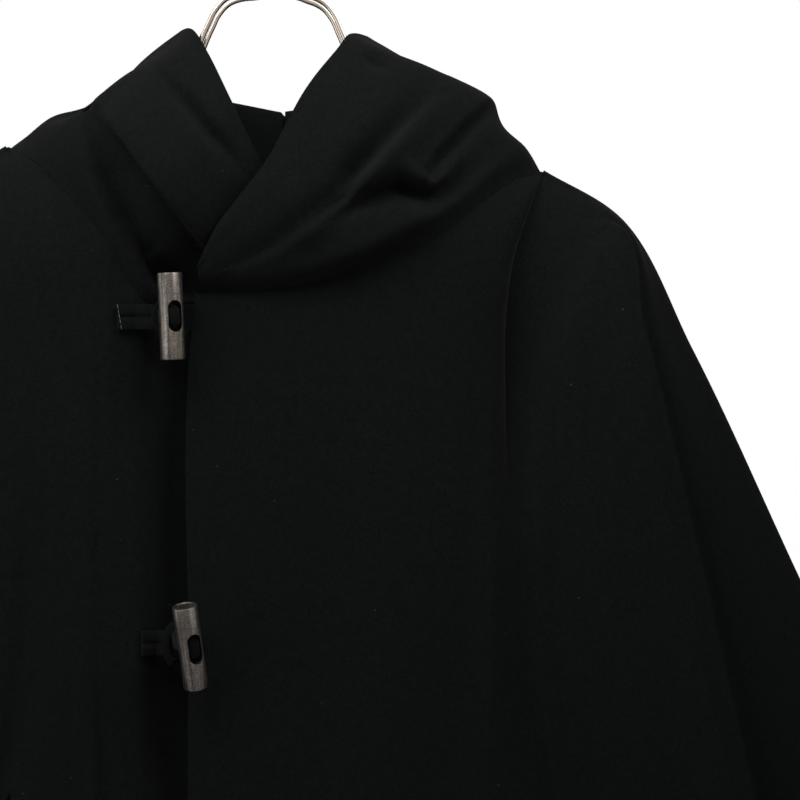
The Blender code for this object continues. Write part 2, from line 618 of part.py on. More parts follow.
def lathe(name, profile, sides, place, look):
    """A solid of revolution about its own Z from rows of radius and height, ends closed."""
    angles = np.arange(sides) * 2 * math.pi / sides
    points = [(r * math.cos(a), r * math.sin(a), h) for r, h in profile for a in angles]
    faces = []
    for i in range(len(profile) - 1):
        for c in range(sides):
            d = (c + 1) % sides
            faces.append((i * sides + c, i * sides + d, (i + 1) * sides + d, (i + 1) * sides + c))
    faces.append(tuple(range(sides))[::-1])
    faces.append(tuple(range((len(profile) - 1) * sides, len(profile) * sides)))
    return add_object(name, place(points), faces, look)


def oval(width, height, steps=7):
    """Outline of an upright oval with straight sides, as x and z."""
    r = width / 2
    straight = (height - width) / 2
    top = [(r * math.cos(a), straight + r * math.sin(a)) for a in np.linspace(0, math.pi, steps)]
    return top + [(-x, -z) for x, z in top]


def oval_bar(name, size, front, back, place, look):
    """An oval bar along its own Y."""
    outline = oval(*size)
    n = len(outline)
    points = [(x, front, z) for x, z in outline] + [(x, back, z) for x, z in outline]
    faces = [((i + 1) % n, i, i + n, (i + 1) % n + n) for i in range(n)]
    faces += [tuple(range(n)), tuple(range(n, 2 * n))[::-1]]
    return add_object(name, place(points), [tuple(reversed(face)) for face in faces], look)


def boolean(target, other, operation):
    change = target.modifiers.new(operation.title(), "BOOLEAN")
    change.operation = operation
    change.solver = "EXACT"
    change.object = other
    other.hide_render = True
    other.display_type = "WIRE"


def facing_out(made):
    """Turns the faces outward if the solid is inside out."""
    points = np.array([v.co[:] for v in made.data.vertices])
    volume = 0.0
    for face in made.data.polygons:
        i = face.vertices
        for k in range(1, len(i) - 1):
            volume += np.dot(points[i[0]], np.cross(points[i[k]], points[i[k + 1]]))
    if volume < 0:
        made.data.flip_normals()
    return made


def make_toggle(name, centre, lean, tip, turn):
    half, r, edge = TOGGLE_LENGTH / 2, TOGGLE_RADIUS, TOGGLE_EDGE
    profile = [(r - edge, -half), (r, -half + edge), (r, half - edge), (r - edge, half)]
    place = turned(centre, lean, tip, turn)
    body = facing_out(lathe(name, profile, 24, place, (METAL, 1.0, 0.4)))
    hole = facing_out(oval_bar(name + "_hole", TOGGLE_HOLE, -2 * r, 2 * r, place, (METAL, 1.0, 0.4)))
    boolean(body, hole, "DIFFERENCE")


def strap_points(centre, sewn_x, neck_x):
    """Outer points of a strap, from its sewn end to behind the toggle."""
    z = centre[2]
    rows = []
    for height in (1, 0.55, 0.12, -0.12, -0.55, -1):
        groove = 0.0005 if abs(height) < 0.2 else 0.0
        row = []
        for f in np.linspace(0, 1, 8):
            x = sewn_x + (neck_x - sewn_x) * f
            face = lower_face(x, z)
            y = min(face - STRAP_THICK - 0.0014, face + (STRAP_REACH - face) * ease(0.0, 0.62, f))
            row.append((x, y + groove, z + height * STRAP_HEIGHT / 2))
        rows.append(row)
    return np.array(rows)


def lower_face(x, z):
    """y of the lower front at x and z."""
    s = np.linspace(0, 1, 121)
    along_x, along_y = section_of_front(-1, z, s)
    order = np.argsort(along_x)
    return float(np.interp(x, along_x[order], along_y[order]))


def make_strap(name, centre, lean, tip, turn, sewn_x):
    outer = strap_points(centre, sewn_x, centre[0] + STRAP_NECK[0] / 2 - 0.0004)
    body = facing_out(wall(name, outer, STRAP_THICK, -1, (WOOL, 0.0, 0.9)))
    place = turned(centre, lean, tip, turn)
    behind = STRAP_REACH + 0.0012 - centre[1]
    neck = oval_bar(name + "_neck", STRAP_NECK, -TOGGLE_RADIUS * 0.82, behind, place, (WOOL, 0.0, 0.9))
    boolean(body, facing_out(neck), "UNION")


def loop_depth(x, first, edge, face_y):
    """y of the loop's middle: before the strap at its round end, behind the upper front at its sewn end."""
    ahead = STRAP_REACH - LOOP_THICK / 2 - 0.0005
    under = face_y + 0.0008 + CLOTH + 0.0005 + LOOP_THICK / 2
    return ahead + (under - ahead) * np.clip((x - first) / (edge - 0.0028 - first), 0, 1)


def make_loop(name, z, left, height, band, roundness):
    edge, face_y = (float(value) for value in by_height(UPPER_FRONT, z))
    half = (height - band) / 2
    bend = left + band / 2 + half * roundness
    sewn = edge + 0.012
    arm = [(sewn - (sewn - bend) * f, half) for f in (0, 0.4, 0.6, 0.8)]
    arc = [(bend - half * roundness * math.sin(a), half * math.cos(a)) for a in np.linspace(0, math.pi, 11)]
    path = np.array(arm + arc + [(x, -h) for x, h in arm[::-1]])
    along = np.gradient(path, axis=0)
    along /= np.linalg.norm(along, axis=1)[:, None]
    out = np.stack([-along[:, 1], along[:, 0]], axis=1)
    points = []
    for (x, h), (ox, oh) in zip(path, out):
        for sign in (1, -1):
            at_x, at_h = x + sign * ox * band / 2, h + sign * oh * band / 2
            depth = float(loop_depth(x, left + half * roundness, edge, face_y))
            points += [(at_x, depth - LOOP_THICK / 2, z + at_h), (at_x, depth + LOOP_THICK / 2, z + at_h)]
    faces = []
    for i in range(len(path) - 1):
        a, b = 4 * i, 4 * i + 4
        for p, q in ((0, 1), (1, 3), (3, 2), (2, 0)):
            faces.append((a + p, a + q, b + q, b + p))
    last = 4 * (len(path) - 1)
    faces += [(0, 2, 3, 1), (last, last + 1, last + 3, last + 2)]
    facing_out(add_object(name, points, faces, (WOOL, 0.0, 0.9)))


def hanger_line(side):
    """Middle line of the rods on one side, from the top to the tip."""
    line = np.array(HANGER)
    f = np.linspace(0, 1, 15) * (len(line) - 1)
    x, z = smooth(np.arange(len(line)), line, f).T
    if side < 0:
        x = -x + SHIFT * np.clip(x / 0.05, 0, 1)
        z = z + rise(x)
    return seen(np.stack([x, np.zeros(len(x)), z], axis=1))[:, [0, 2]]


def make_hanger():
    right, left = hanger_line(1), hanger_line(-1)
    front = np.concatenate([left[:0:-1], right])
    path = [(x, -ROD_SPREAD, z) for x, z in front]
    path += bend_round(right[-1], 1)
    path += [(x, ROD_SPREAD, z) for x, z in front[::-1]]
    path += bend_round(left[-1], -1)
    return facing_out(tube("hanger_frame", path, ROD_RADIUS, (CHROME, 1.0, 0.15), closed=True))


def bend_round(tip, side):
    """Points of the half turn that joins the rods at a tip."""
    made = []
    for a in np.linspace(0, math.pi, 6)[1:-1]:
        y = -side * ROD_SPREAD * math.cos(a)
        made.append((tip[0] + side * ROD_SPREAD * 0.8 * math.sin(a), y, tip[1] - 0.003 * math.sin(a)))
    return made


def make_hook():
    ring = HOOK_BEND + HOOK_RADIUS
    top = hanger_line(1)[0, 1] + ROD_RADIUS + 0.0003
    path = [(0, 0, top + 0.0020), (0, 0, top + 0.007), (0, 0, top + 0.012)]
    for a in np.linspace(math.radians(-72), math.radians(205), 18):
        path.append((ring * math.cos(a), 0, -HOOK_BEND + ring * math.sin(a)))
    hook = facing_out(tube("hanger_hook", path, HOOK_RADIUS, (CHROME, 1.0, 0.15)))
    profile = [(0.0050, top), (0.0050, top + 0.0040), (0.0036, top + 0.0065)]
    foot = facing_out(lathe("hanger_foot", profile, 16, turned((0, 0, 0), 0, 0, 0), (CHROME, 1.0, 0.15)))
    boolean(hook, foot, "UNION")


def main():
    for old in list(bpy.data.objects):
        bpy.data.objects.remove(old)
    wool = (WOOL, 0.0, 0.9)
    fronts = {side: front_points(side) for side in (1, -1)}
    back = back_points()
    wall("front_left", seen(fronts[1]), CLOTH, -1, wool, keep=-1)
    wall("front_right", seen(fronts[-1]), CLOTH, 1, wool, keep=-1)
    wall("back", seen(back), CLOTH, 1, wool, keep=1)
    for side, name in ((1, "left"), (-1, "right")):
        sleeve = sleeve_points(side, fronts[side], back)
        hood = hood_points(side, fronts[side], back)
        wall("sleeve_" + name, seen(sleeve), CLOTH, side, wool, wrap=True)
        wall("hood_" + name, seen(hood), HOOD_CLOTH, side, wool, middle=True)
    for number, centre, lean, tip, turn, sewn_x, loop in FASTENINGS:
        make_toggle("toggle_" + number, centre, lean, tip, turn)
        make_strap("strap_" + number, centre, lean, tip, turn, sewn_x)
        make_loop("loop_" + number, centre[2], *loop)
    make_hanger()
    make_hook()


main()
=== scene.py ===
"""Looks of the duffle coat: finer cloth with its folds, sewing, metal, floor, light and camera."""

import math

import bpy
import numpy as np
from mathutils import Matrix, Vector


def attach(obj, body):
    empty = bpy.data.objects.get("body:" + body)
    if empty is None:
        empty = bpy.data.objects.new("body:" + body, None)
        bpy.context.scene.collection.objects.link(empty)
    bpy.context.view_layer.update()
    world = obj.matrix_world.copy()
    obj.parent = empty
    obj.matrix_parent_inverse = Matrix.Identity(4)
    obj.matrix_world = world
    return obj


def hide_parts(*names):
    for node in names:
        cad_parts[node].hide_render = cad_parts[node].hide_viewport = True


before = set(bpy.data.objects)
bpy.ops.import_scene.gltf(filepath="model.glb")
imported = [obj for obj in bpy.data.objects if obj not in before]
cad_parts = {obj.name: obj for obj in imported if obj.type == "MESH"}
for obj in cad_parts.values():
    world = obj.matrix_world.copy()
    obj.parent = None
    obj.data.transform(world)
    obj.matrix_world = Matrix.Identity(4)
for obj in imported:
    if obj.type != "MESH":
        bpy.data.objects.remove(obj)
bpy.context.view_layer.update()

# Shape of the coat: the part's, with closer seams and finer folds. Side +1 is +X, the wearer's left. Values
# are in metres, except that the tables of the coat's shape and the hanger's line are in millimetres.
MM = 1000
CLOTH = 0.0026
HOOD_CLOTH = 0.0032
SEAM_GAP = 0.0001
HOOD_GAP = 0.00008
ARMHOLE_GAP = 0.00005
HEM_Z = -1.04
UNDERARM_Z = -0.63
RISE = 0.0155
RISE_X = 0.17
SHIFT = -0.003
SHOULDER_ROUND = 0.09
VIEW_X, VIEW_Z = 0.078, -0.334
VIEW_PLANE_Y = -0.060
VIEW_DISTANCE = 1.90
VIEW_WIDTH = 0.508
VIEW_BACK_Y = 0.020
SENSOR = 36

ARMHOLE_ROWS = 90
SKIRT_ROWS = 70
FRONT_COLUMNS = 130
FRONT_TAIL = 13
BACK_COLUMNS = 160
SLEEVE_ROWS = 120
CROWN_COLUMNS = 8
HOOD_FRONT_COLUMNS = 190
HOOD_BACK_COLUMNS = 70
HOOD_ROWS = 130
HOOD_SEAM_COLUMNS = 11
CROWN_TURN = 0.5 / 13

# x and z along the top of the shoulder.
SHOULDER = ((0, -105), (50, -130), (100, -158), (130, -172), (169.4, -189.3), (217.8, -217.8))
# z, x and y of the front's outer ridge, x and y of its end.
BODY = (
    (-189.3, 167, -54, 169.4, -34),
    (-215, 157.2, -55, 159.6, -34),
    (-240, 148.8, -56, 151.4, -34),
    (-276, 143, -57, 145.8, -34),
    (-330, 141.5, -58, 145, -33),
    (-400, 140, -60, 147, -31),
    (-480, 137.5, -62, 150, -28),
    (-560, 134, -64, 157, -20),
    (-630, 134, -67, 176, -0.05),
    (-720, 137, -71, 204, -0.05),
    (-860, 145, -78, 250, -0.05),
    (-1040, 160, -86, 306, -0.05),
)
# z, x of the upper front's free edge, y of its face.
UPPER_FRONT = (
    (-260, -51.4, -60),
    (-300, -55.5, -60.5),
    (-500, -56.5, -62.5),
    (-800, -58, -74),
    (-1040, -60, -84),
)
UNDERLAP_X = 0.014
STEP_BACK = 0.0200
STEP_X = (-0.058, -0.0715, -0.085, -0.100)
ARM_AHEAD = 0.014
# x and z along the neck and shoulder seams, then z and y down the back.
SEAM_UPPER = (
    (-51.4, -266.4), (-20, -265.5), (7.4, -262.2), (41.9, -255.3), (66, -246.4),
    (93.3, -235.6), (110.7, -224.1), (136.5, -203.6), (152.1, -194), (169.4, -189.3),
)
SEAM_LOWER = (
    (-172.4, -173.8), (-158, -180), (-143.5, -193.7), (-131, -206.1), (-110.5, -230),
    (-97.2, -253.7), (-88, -268), (-60, -276), (14, -279),
)
SEAM_BACK = ((0, -205), (50, -203), (110, -197), (152, -191.5), (169.4, -189.3))
BACK_FACE = ((-190, 52), (-300, 58), (-560, 64), (-850, 78), (-1040, 88))

# Soft folds of the body: side (-1 front, +1 back), x at the top and at the hem, z of the start, width, depth.
FLUTES = (
    (-1, 30, 50, -400, 30, 9),
    (-1, 80, 105, -460, 24, -11),
    (-1, -120, -130, -440, 24, 8),
    (-1, -165, -200, -600, 24, -10),
    (1, 10, 0, -420, 34, 14),
    (1, 75, 110, -380, 26, 11),
    (1, 45, 58, -460, 20, -9),
    (1, -85, -125, -400, 28, 10),
    (1, -45, -60, -440, 20, -10),
)

# Place round the +X sleeve, then x, y and z at the shoulder tip, upper arm, elbow and cuff.
SLEEVE = (
    (0.000, (217.8, 3, -217.8), (263.5, 10, -302), (331.5, 15, -449.4), (436, 18, -668)),
    (0.035, (217.2, -6, -218.5), (253, -2, -299), (308, 0, -445), (398, 0, -678)),
    (0.070, (216.5, -14, -219.5), (239.5, -18, -292), (277, -18, -437), (341, -16, -690)),
    (0.086, (214.5, -16.5, -221.2), (233.5, -21, -289.5), (267.5, -22, -433.5), (326, -21, -693.5)),
    (0.099, (214.3, -19, -221.8), (232.8, -31, -289), (266.8, -36, -433), (324.8, -38, -694.5)),
    (0.110, (214, -22, -222.5), (233.5, -42, -289), (268, -50, -433), (326, -54, -695)),
    (0.123, (211.8, -24.5, -226.1), (231, -44, -293.3), (265, -51.6, -437.3), (322.3, -55.6, -696.5)),
    (0.180, (202, -34, -242), (220, -50, -312), (252, -56, -456), (306, -61, -703)),
    (0.260, (179, -43, -295), (201, -52, -370), (231, -58, -500), (283, -60, -713)),
    (0.340, (164, -42, -390), (183, -51, -460), (211, -55, -570), (258, -54, -730)),
    (0.420, (159, -37, -505), (174, -43, -560), (198, -44, -635), (240, -38, -745)),
    (0.500, (181.5, 0, -644), (190, 0, -665), (204, 0, -699), (230, 0, -756)),
    (0.580, (159, 38, -505), (174, 45, -560), (199, 48, -635), (242, 44, -745)),
    (0.660, (164, 43, -390), (185, 53, -460), (214, 58, -570), (264, 60, -729)),
    (0.740, (179, 44, -295), (204, 55, -370), (238, 61, -500), (295, 64, -710)),
    (0.820, (202, 36, -242), (227, 52, -312), (268, 60, -456), (332, 64, -696)),
    (0.890, (214, 26, -222.5), (244, 44, -294), (296, 54, -443), (374, 60, -685)),
    (0.950, (217.2, 13, -218.5), (258, 26, -299), (322, 34, -446), (418, 40, -673)),
)
SLEEVE_STATIONS = (0.0, 0.11, 0.28, 0.56, 1.0)

# How the armhole is eased in front, in metres: the heights between which this starts, how far out the level
# line ends and its y there, then the depth of the valley and the heights between which that starts.
ARMHOLE_EASED = {
    1: ((-0.30, -0.44), 0.030, -0.048, 0.007, (-0.30, -0.40)),
    -1: ((-0.170, -0.188), 0.035, -0.051, 0.006, (-0.36, -0.46)),
}
ARMHOLE_EASED_END = (-0.60, -0.69)
VALLEY_OUT = 0.005
VALLEY_WIDTH = 0.010
EASED_ROUND = 0.0012

# Front part of each hood half: place from the front end, x on the neck seam, rim x y z, bulge x y z.
HOOD_FRONT = {
    1: (
        (0.00, -51, (-49.8, -68.5, -248), (0, -3, 0)),
        (0.06, -20, (-40, -72, -226.5), (0, -7, 0)),
        (0.14, 25, (-24.5, -73, -205.5), (0, -13, 0)),
        (0.22, 66, (-6, -71, -181), (2, -18, 0)),
        (0.31, 110.7, (16.5, -57, -139.5), (4, -20, 2)),
        (0.41, 152.1, (37, -30, -113), (10, -14, 10)),
    ),
    -1: (
        (0.00, 13, (12, -47, -264), (0, -1, 0)),
        (0.07, -30, (4, -50, -225), (0, -3, 0)),
        (0.15, -65, (-8.5, -52, -187.1), (0, -7, 0)),
        (0.23, -90, (-18, -54, -168), (-3, -12, 0)),
        (0.31, -108, (-29, -51, -145), (-4, -18, 2)),
        (0.41, -140, (-43, -30, -116), (-8, -14, 6)),
    ),
}
# Side of the hood, where the neck seam's end is: x and z of the rise, roll, inner fall, bottom, outer fall
# and rim. Then its back: place, x on the seam, and x, y and z of the same six.
HOOD_SIDE = {
    1: ((158, -174.5), (143, -160), (135.2, -141.5), (103.9, -127.6), (74.3, -113.7), (48.7, -101)),
    -1: ((-159, -167), (-144.5, -153), (-123, -143), (-99.7, -128.5), (-76, -114), (-55.5, -97.9)),
}
HOOD_BACK = (
    (0.68, 135, (120, 40, -164), (95, 38, -134), (106, 54, -152),
     (118, 70, -180), (104, 74, -142), (70, 56, -113)),
    (0.84, 80, (74, 56, -172), (60, 58, -142), (78, 76, -215),
     (96, 94, -308), (86, 110, -220), (52, 94, -140)),
    (1.00, 0.2, (0.2, 62, -175), (0.2, 73, -150), (0.2, 86, -260),
     (0.2, 100, -362), (0.2, 126, -270), (0.2, 118, -153)),
)
HOOD_SIDE_PLACE = 0.54
HOOD_SIDE_TURN = 0.016
NECK_END_X = {1: 0.1694, -1: -0.1724}
HOOD_LIFT = (1, 0.7, 0.5, 0.5, 0.5, 0.2)  # share of the rise at each station
HOOD_STATIONS = (0.0, 0.12, 0.25, 0.45, 0.65, 0.85, 1.0)
RIM_ROLL = 0.0030
ROLL_LEAN = (-0.24, 0.0, -0.17)  # the roll on -X hangs over to this side
DENT_X, DENT_WIDTH, DENT_DEPTH = -0.121, 0.021, 0.0105  # the rear of the hood lies lower here, on -X

# Folds of the hood's front: side, points along it as x, z and height, width to the left and to
# the right of it as one goes along. A height below 0 is a trough.
HOOD_FOLDS = (
    (1, ((54, -116, -1), (62, -117.5, -6), (70, -123, -1)), 3, 5),
    (1, ((98, -139, -3), (76, -161, -9), (62, -178, -12), (51, -190, -12), (43, -204, -8), (18, -222, -5),
         (-3, -237, -3.5), (-26, -248, -1.5)), 4, 11),
    (1, ((104, -146, 2), (80, -168, 4), (62, -186, 5), (52, -197, 4), (34, -212, 2), (0, -237, 0.5)), 10, 5),
    (1, ((137, -144, -5), (120, -160, -9), (104, -178, -9), (97, -188, -3)), 6, 2.4),
    (1, ((84, -185, 2), (92, -194, 6), (99, -198, 7), (106, -191, 6), (113, -181, 2)), 4.5, 4.5),
    (1, ((36, -220, -3), (58, -208, -11), (78, -201, -14), (98, -207, -11), (122, -193, -4)), 9, 7),
    (1, ((156, -177, 2), (110, -207, 6), (59, -233, 7), (24, -249, 4), (-20, -258, 1)), 11, 8),
    (-1, ((-112, -150, 3), (-103, -160, 9), (-94, -170, 13), (-79, -190, 14), (-64, -210, 14),
          (-44, -236, 10)), 32, 2.4),
    (-1, ((-120, -163, -5), (-112, -190, -14), (-100, -218, -17), (-82, -247, -17), (-68, -266, -13)), 22, 5),
    (-1, ((-80, -122, -2), (-56, -146, -8), (-40, -166, -8), (-27, -182, -3)), 5, 8),
)

# The same for the panels, where they are soft and long.
PANEL_FOLDS = (
    (-1, ((-150, -365, 0), (-142, -420, 4), (-129, -510, 6), (-119, -590, 5), (-108, -720, 3),
          (-100, -900, 0)), 9, 12),
    (-1, ((-118, -300, 0), (-112, -420, -1.6), (-104, -600, -2), (-100, -800, 0)), 12, 12),
    (1, ((60, -300, 0), (66, -420, 1.5), (72, -560, 2.2), (80, -700, 1)), 22, 18),
    (1, ((20, -330, 0), (26, -450, -1.5), (30, -600, -2.4), (32, -760, -1)), 18, 20),
    (1, ((112, -420, 0), (108, -520, -1.6), (106, -620, -2.2), (108, -760, 0)), 14, 16),
)

# Soft folds of the sleeves: place round the sleeve, width there and height in metres.
SLEEVE_FOLDS = (
    (0.390, 0.032, -0.0030), (0.298, 0.028, 0.0026), (0.236, 0.024, -0.0030), (0.155, 0.028, 0.0018),
    (0.625, 0.036, -0.0034), (0.715, 0.030, 0.0030), (0.800, 0.034, -0.0026), (0.880, 0.030, 0.0022),
)

TOGGLE_LENGTH = 0.0550
TOGGLE_RADIUS = 0.0079
TOGGLE_HOLE = (0.0090, 0.0200)
STRAP_NECK = (0.0078, 0.0140)
STRAP_HEIGHT = 0.0160
STRAP_THICK = 0.0030
STRAP_REACH = -0.0672
LOOP_THICK = 0.0024
STRAP_CLEAR = 0.0014
STITCHES = 5
STITCH_SPAN = 0.0064
STITCH_HALF = 0.00125
STITCH_RADIUS = 0.00028
# Number, centre of the toggle, lean, tip and turn in degrees, x of the strap's sewn end, then the loop: x of
# its round end, height, width of the band, roundness. Lengths are in metres.
FASTENINGS = (
    ("1", (-0.0657, -0.0800, -0.2813), 2.3, 2.0, 26.0, -0.1010, (-0.0792, 0.0250, 0.0040, 0.85)),
    ("2", (-0.0534, -0.0840, -0.4886), 7.0, 16.0, 29.0, -0.0850, (-0.0726, 0.0295, 0.0050, 0.55)),
)

ROD_RADIUS = 0.0020
ROD_SPREAD = 0.0060
REAR_INSIDE = 0.0022
HANGER = (
    (0, -77), (17, -77.5), (29, -82), (36.6, -90.5), (41.8, -102),
    (54.5, -130), (80, -156), (125, -180), (165, -199.5), (188, -211.5),
)
HOOK_RADIUS = 0.00225
HOOK_BEND = 0.0220
# Radius and height in metres.
HOOK_FOOT = (
    (0.0045, 0.0), (0.0050, 0.0005), (0.0050, 0.0036), (0.0047, 0.0041), (0.0036, 0.0061), (0.0030, 0.0066),
)

FLOOR_Z = -1.30
FLOOR_RADIUS = 2.4
# Name, place, target, width and height, watts and colour.
LIGHTS = (
    ("top", (0.08, -0.34, 0.65), (0.08, -0.05, -0.30), (0.6, 0.6), 1.2, (1.0, 0.94, 0.96)),
    ("right", (0.54, -0.56, 0.42), (0.1, 0.0, 0.0), (0.5, 0.5), 3.3, (1, 1, 1)),
    ("left", (-0.38, -0.56, 0.42), (0.0, 0.0, 0.0), (0.5, 0.5), 3.3, (1, 1, 1)),
    ("side", (-1.0, -0.6, -0.35), (0.0, 0.0, -0.40), (0.5, 0.8), 1.6, (1, 1, 1)),
)


def smooth(knots, values, at):
    """Values at the given places on a smooth curve through those at the knots."""
    knots = np.asarray(knots, float)
    values = np.asarray(values, float)
    at = np.clip(np.asarray(at, float), knots[0], knots[-1])
    slopes = np.gradient(values, knots, axis=0)
    i = np.clip(np.searchsorted(knots, at, side="right") - 1, 0, len(knots) - 2)
    step = knots[i + 1] - knots[i]
    f = (at - knots[i]) / step
    if values.ndim > 1:
        grow = (...,) + (None,) * (values.ndim - 1)
        f, step = f[grow], step[grow]
    return hermite(f, step, values[i], values[i + 1], slopes[i], slopes[i + 1])


def smooth_each(knots, values, at):
    """The same where each place has its own values: they have one row for each knot, in the shape of at."""
    knots = np.asarray(knots, float)
    values = np.stack([np.broadcast_to(v, at.shape) for v in values])
    at = np.clip(at, knots[0], knots[-1])
    slopes = np.gradient(values, knots, axis=0)
    i = np.clip(np.searchsorted(knots, at, side="right") - 1, 0, len(knots) - 2)
    step = knots[i + 1] - knots[i]

    def pick(table, row):
        return np.take_along_axis(table, row[None], axis=0)[0]

    f = (at - knots[i]) / step
    return hermite(f, step, pick(values, i), pick(values, i + 1), pick(slopes, i), pick(slopes, i + 1))


def hermite(f, step, start, end, start_slope, end_slope):
    return (
        (2 * f**3 - 3 * f**2 + 1) * start
        + (f**3 - 2 * f**2 + f) * step * start_slope
        + (3 * f**2 - 2 * f**3) * end
        + (f**3 - f**2) * step * end_slope
    )


def by_height(table, z):
    """The columns of a table whose first column is z, from the top down."""
    table = np.asarray(table, float) / MM
    found = smooth(-table[:, 0], table[:, 1:], -np.asarray(z, float))
    return np.moveaxis(found, -1, 0)


def by_x(table, x):
    table = np.asarray(table, float) / MM
    return smooth(table[:, 0], table[:, 1], x)


def ease(low, high, value):
    f = np.clip((value - low) / (high - low), 0, 1)
    return f * f * (3 - 2 * f)


def seen(points):
    """Points read off the photo on the plane of the fronts, moved to their own depth."""
    points = np.asarray(points, float)
    scale = 1 + (np.minimum(points[..., 1], VIEW_BACK_Y) - VIEW_PLANE_Y) / VIEW_DISTANCE
    x = VIEW_X + (points[..., 0] - VIEW_X) * scale
    z = VIEW_Z + (points[..., 2] - VIEW_Z) * scale
    return np.stack([x, points[..., 1], z], axis=-1)


def rise(x):
    """How much higher the cloth lies at x, as the coat hangs up on the -X side."""
    return RISE * np.clip(-np.asarray(x) / RISE_X, 0, 1)


def shoulder_roll(x, z):
    """0 on top of the shoulder, 1 where the panel hangs straight down."""
    top = by_x(SHOULDER, np.abs(x)) + rise(x)
    h = np.clip((top - z) / SHOULDER_ROUND, 0.02, 1)
    return np.sqrt(1 - (1 - h) ** 2)


def below_arm(z):
    """0 above the underarm and 1 well below it."""
    return ease(-0.58, -0.74, z)


def flutes(face, x, z):
    out = np.zeros(np.shape(x))
    for on, *sizes in FLUTES:
        if on == face:
            top_x, hem_x, start_z, width, depth = np.array(sizes) / MM
            down = np.clip((start_z - z) / (start_z - HEM_Z), 0, 1)
            line = top_x + (hem_x - top_x) * down
            out = out + depth * down**1.3 * np.exp(-(((x - line) / (width * (0.6 + 0.4 * down))) ** 2))
    return out


def side_of_body(side, z):
    """Ridge and end of the body's front at height z: x, y, x, y."""
    ridge_x, ridge_y, end_x, end_y = by_height(BODY, z if side > 0 else z - RISE)
    if side < 0:
        ridge_x, end_x = SHIFT - ridge_x, SHIFT - end_x
    return ridge_x, ridge_y, end_x, np.minimum(end_y, -SEAM_GAP / 2)


def section_of_front(side, z, s):
    """x and y of a front at height z. s goes from its free edge, 0, to the armhole or side seam, 1."""
    ridge_x, ridge_y, end_x, end_y = side_of_body(side, z)
    edge_x, face_y = by_height(UPPER_FRONT, z)
    low = below_arm(z)
    ahead = 0.0 if side > 0 else ease(-0.19, -0.25, z) * (1 - ease(-0.44, -0.60, z))
    end_y = end_y - ARM_AHEAD * ahead
    if side > 0:
        start = [(0.0, edge_x, face_y + 0.0008), (0.06, edge_x + 0.008, face_y), (0.35, 0.02, face_y - 0.001)]
    else:
        end, foot, top, first = STEP_X
        under = face_y + STEP_BACK
        start = [
            (0.0, UNDERLAP_X, under),
            (0.16, end, under),
            (0.24, foot, under - 0.004),
            (0.32, top, face_y + 0.005),
            (0.42, first, face_y + 0.0015),
            (0.62, -0.112, face_y + 0.0002),
        ]
    rest = [
        (0.80, ridge_x - side * 0.016, ridge_y - 0.0004),
        (0.87, ridge_x - side * 0.004, ridge_y + 0.0050),
        (0.93, ridge_x + (end_x - ridge_x) * 0.45, ridge_y + (end_y - ridge_y) * (0.52 - 0.20 * low)),
        (0.97, end_x - side * (0.0004 + 0.008 * low), end_y - 0.006 - 0.006 * low + 0.0055 * ahead),
        (1.0, end_x, end_y),
    ]
    knots, xs, ys = zip(*(start + rest))
    x, y = smooth_each(knots, xs, s), smooth_each(knots, ys, s)
    y = y * shoulder_roll(x, z) - flutes(-1, x, z) * (1 - ease(0.90, 1.0, s))
    return x, np.minimum(y, -SEAM_GAP / 2)


def section_of_back(z, s):
    """x and y of the back at height z. s goes from the -X end, -1, to the +X end, 1."""
    face_y = by_height(BACK_FACE, z)[0]
    halves = {}
    for side in (-1, 1):
        ridge_x, ridge_y, end_x, end_y = side_of_body(side, z)
        low = below_arm(z)
        points = [
            (0.0, SHIFT / 2, face_y),
            (0.4, ridge_x * 0.45, face_y - 0.0005),
            (0.74, ridge_x - side * 0.020, -ridge_y - 0.001),
            (0.84, ridge_x - side * 0.003, -ridge_y - 0.005),
            (0.92, ridge_x + (end_x - ridge_x) * 0.45, -ridge_y - (end_y - ridge_y) * (0.52 - 0.20 * low)),
            (0.965, end_x - side * (0.0004 + 0.008 * low), -end_y + 0.006 + 0.006 * low),
            (1.0, end_x, -end_y),
        ]
        knots, xs, ys = zip(*points)
        halves[side] = smooth_each(knots, xs, np.abs(s)), smooth_each(knots, ys, np.abs(s))
    x = np.where(s > 0, halves[1][0], halves[-1][0])
    y = np.where(s > 0, halves[1][1], halves[-1][1])
    y = y * shoulder_roll(x, z) + flutes(1, x, z) * (1 - ease(0.90, 1.0, np.abs(s)))
    return x, np.maximum(y, SEAM_GAP / 2)


def panel(section, seam, s, underarm):
    """Outer points of a panel: rows from the neck seam to the hem, columns along s."""
    top = np.full(len(s), -0.24)
    for _ in range(40):
        top = 0.5 * (top + seam(section(top, s)[0]))
    arm = np.linspace(0, 1, ARMHOLE_ROWS)[:, None] ** 1.25
    skirt = np.linspace(0, 1, SKIRT_ROWS + 1)[1:, None]
    z = np.concatenate([top + (underarm - top) * arm, underarm + (HEM_Z - underarm) * skirt])
    x, y = section(z, np.broadcast_to(s, z.shape))
    return np.stack([x, y, z], axis=-1)


def front_points(side):
    s = np.linspace(0, 1, FRONT_COLUMNS)
    table = SEAM_UPPER if side > 0 else SEAM_LOWER
    underarm = np.full(len(s), UNDERARM_Z if side > 0 else UNDERARM_Z + RISE)
    points = panel(lambda z, at: section_of_front(side, z, at), lambda x: by_x(table, x), s, underarm)
    for on, line, left, right in PANEL_FOLDS:
        if on == side:
            points[..., 1] -= fold(points[..., 0], points[..., 2], line, left, right)
    return points


def back_points():
    s = np.linspace(-1, 1, BACK_COLUMNS)
    underarm = UNDERARM_Z + RISE * (1 - s) / 2
    return panel(section_of_back, lambda x: by_x(SEAM_BACK, np.abs(x)) + rise(x), s, underarm)


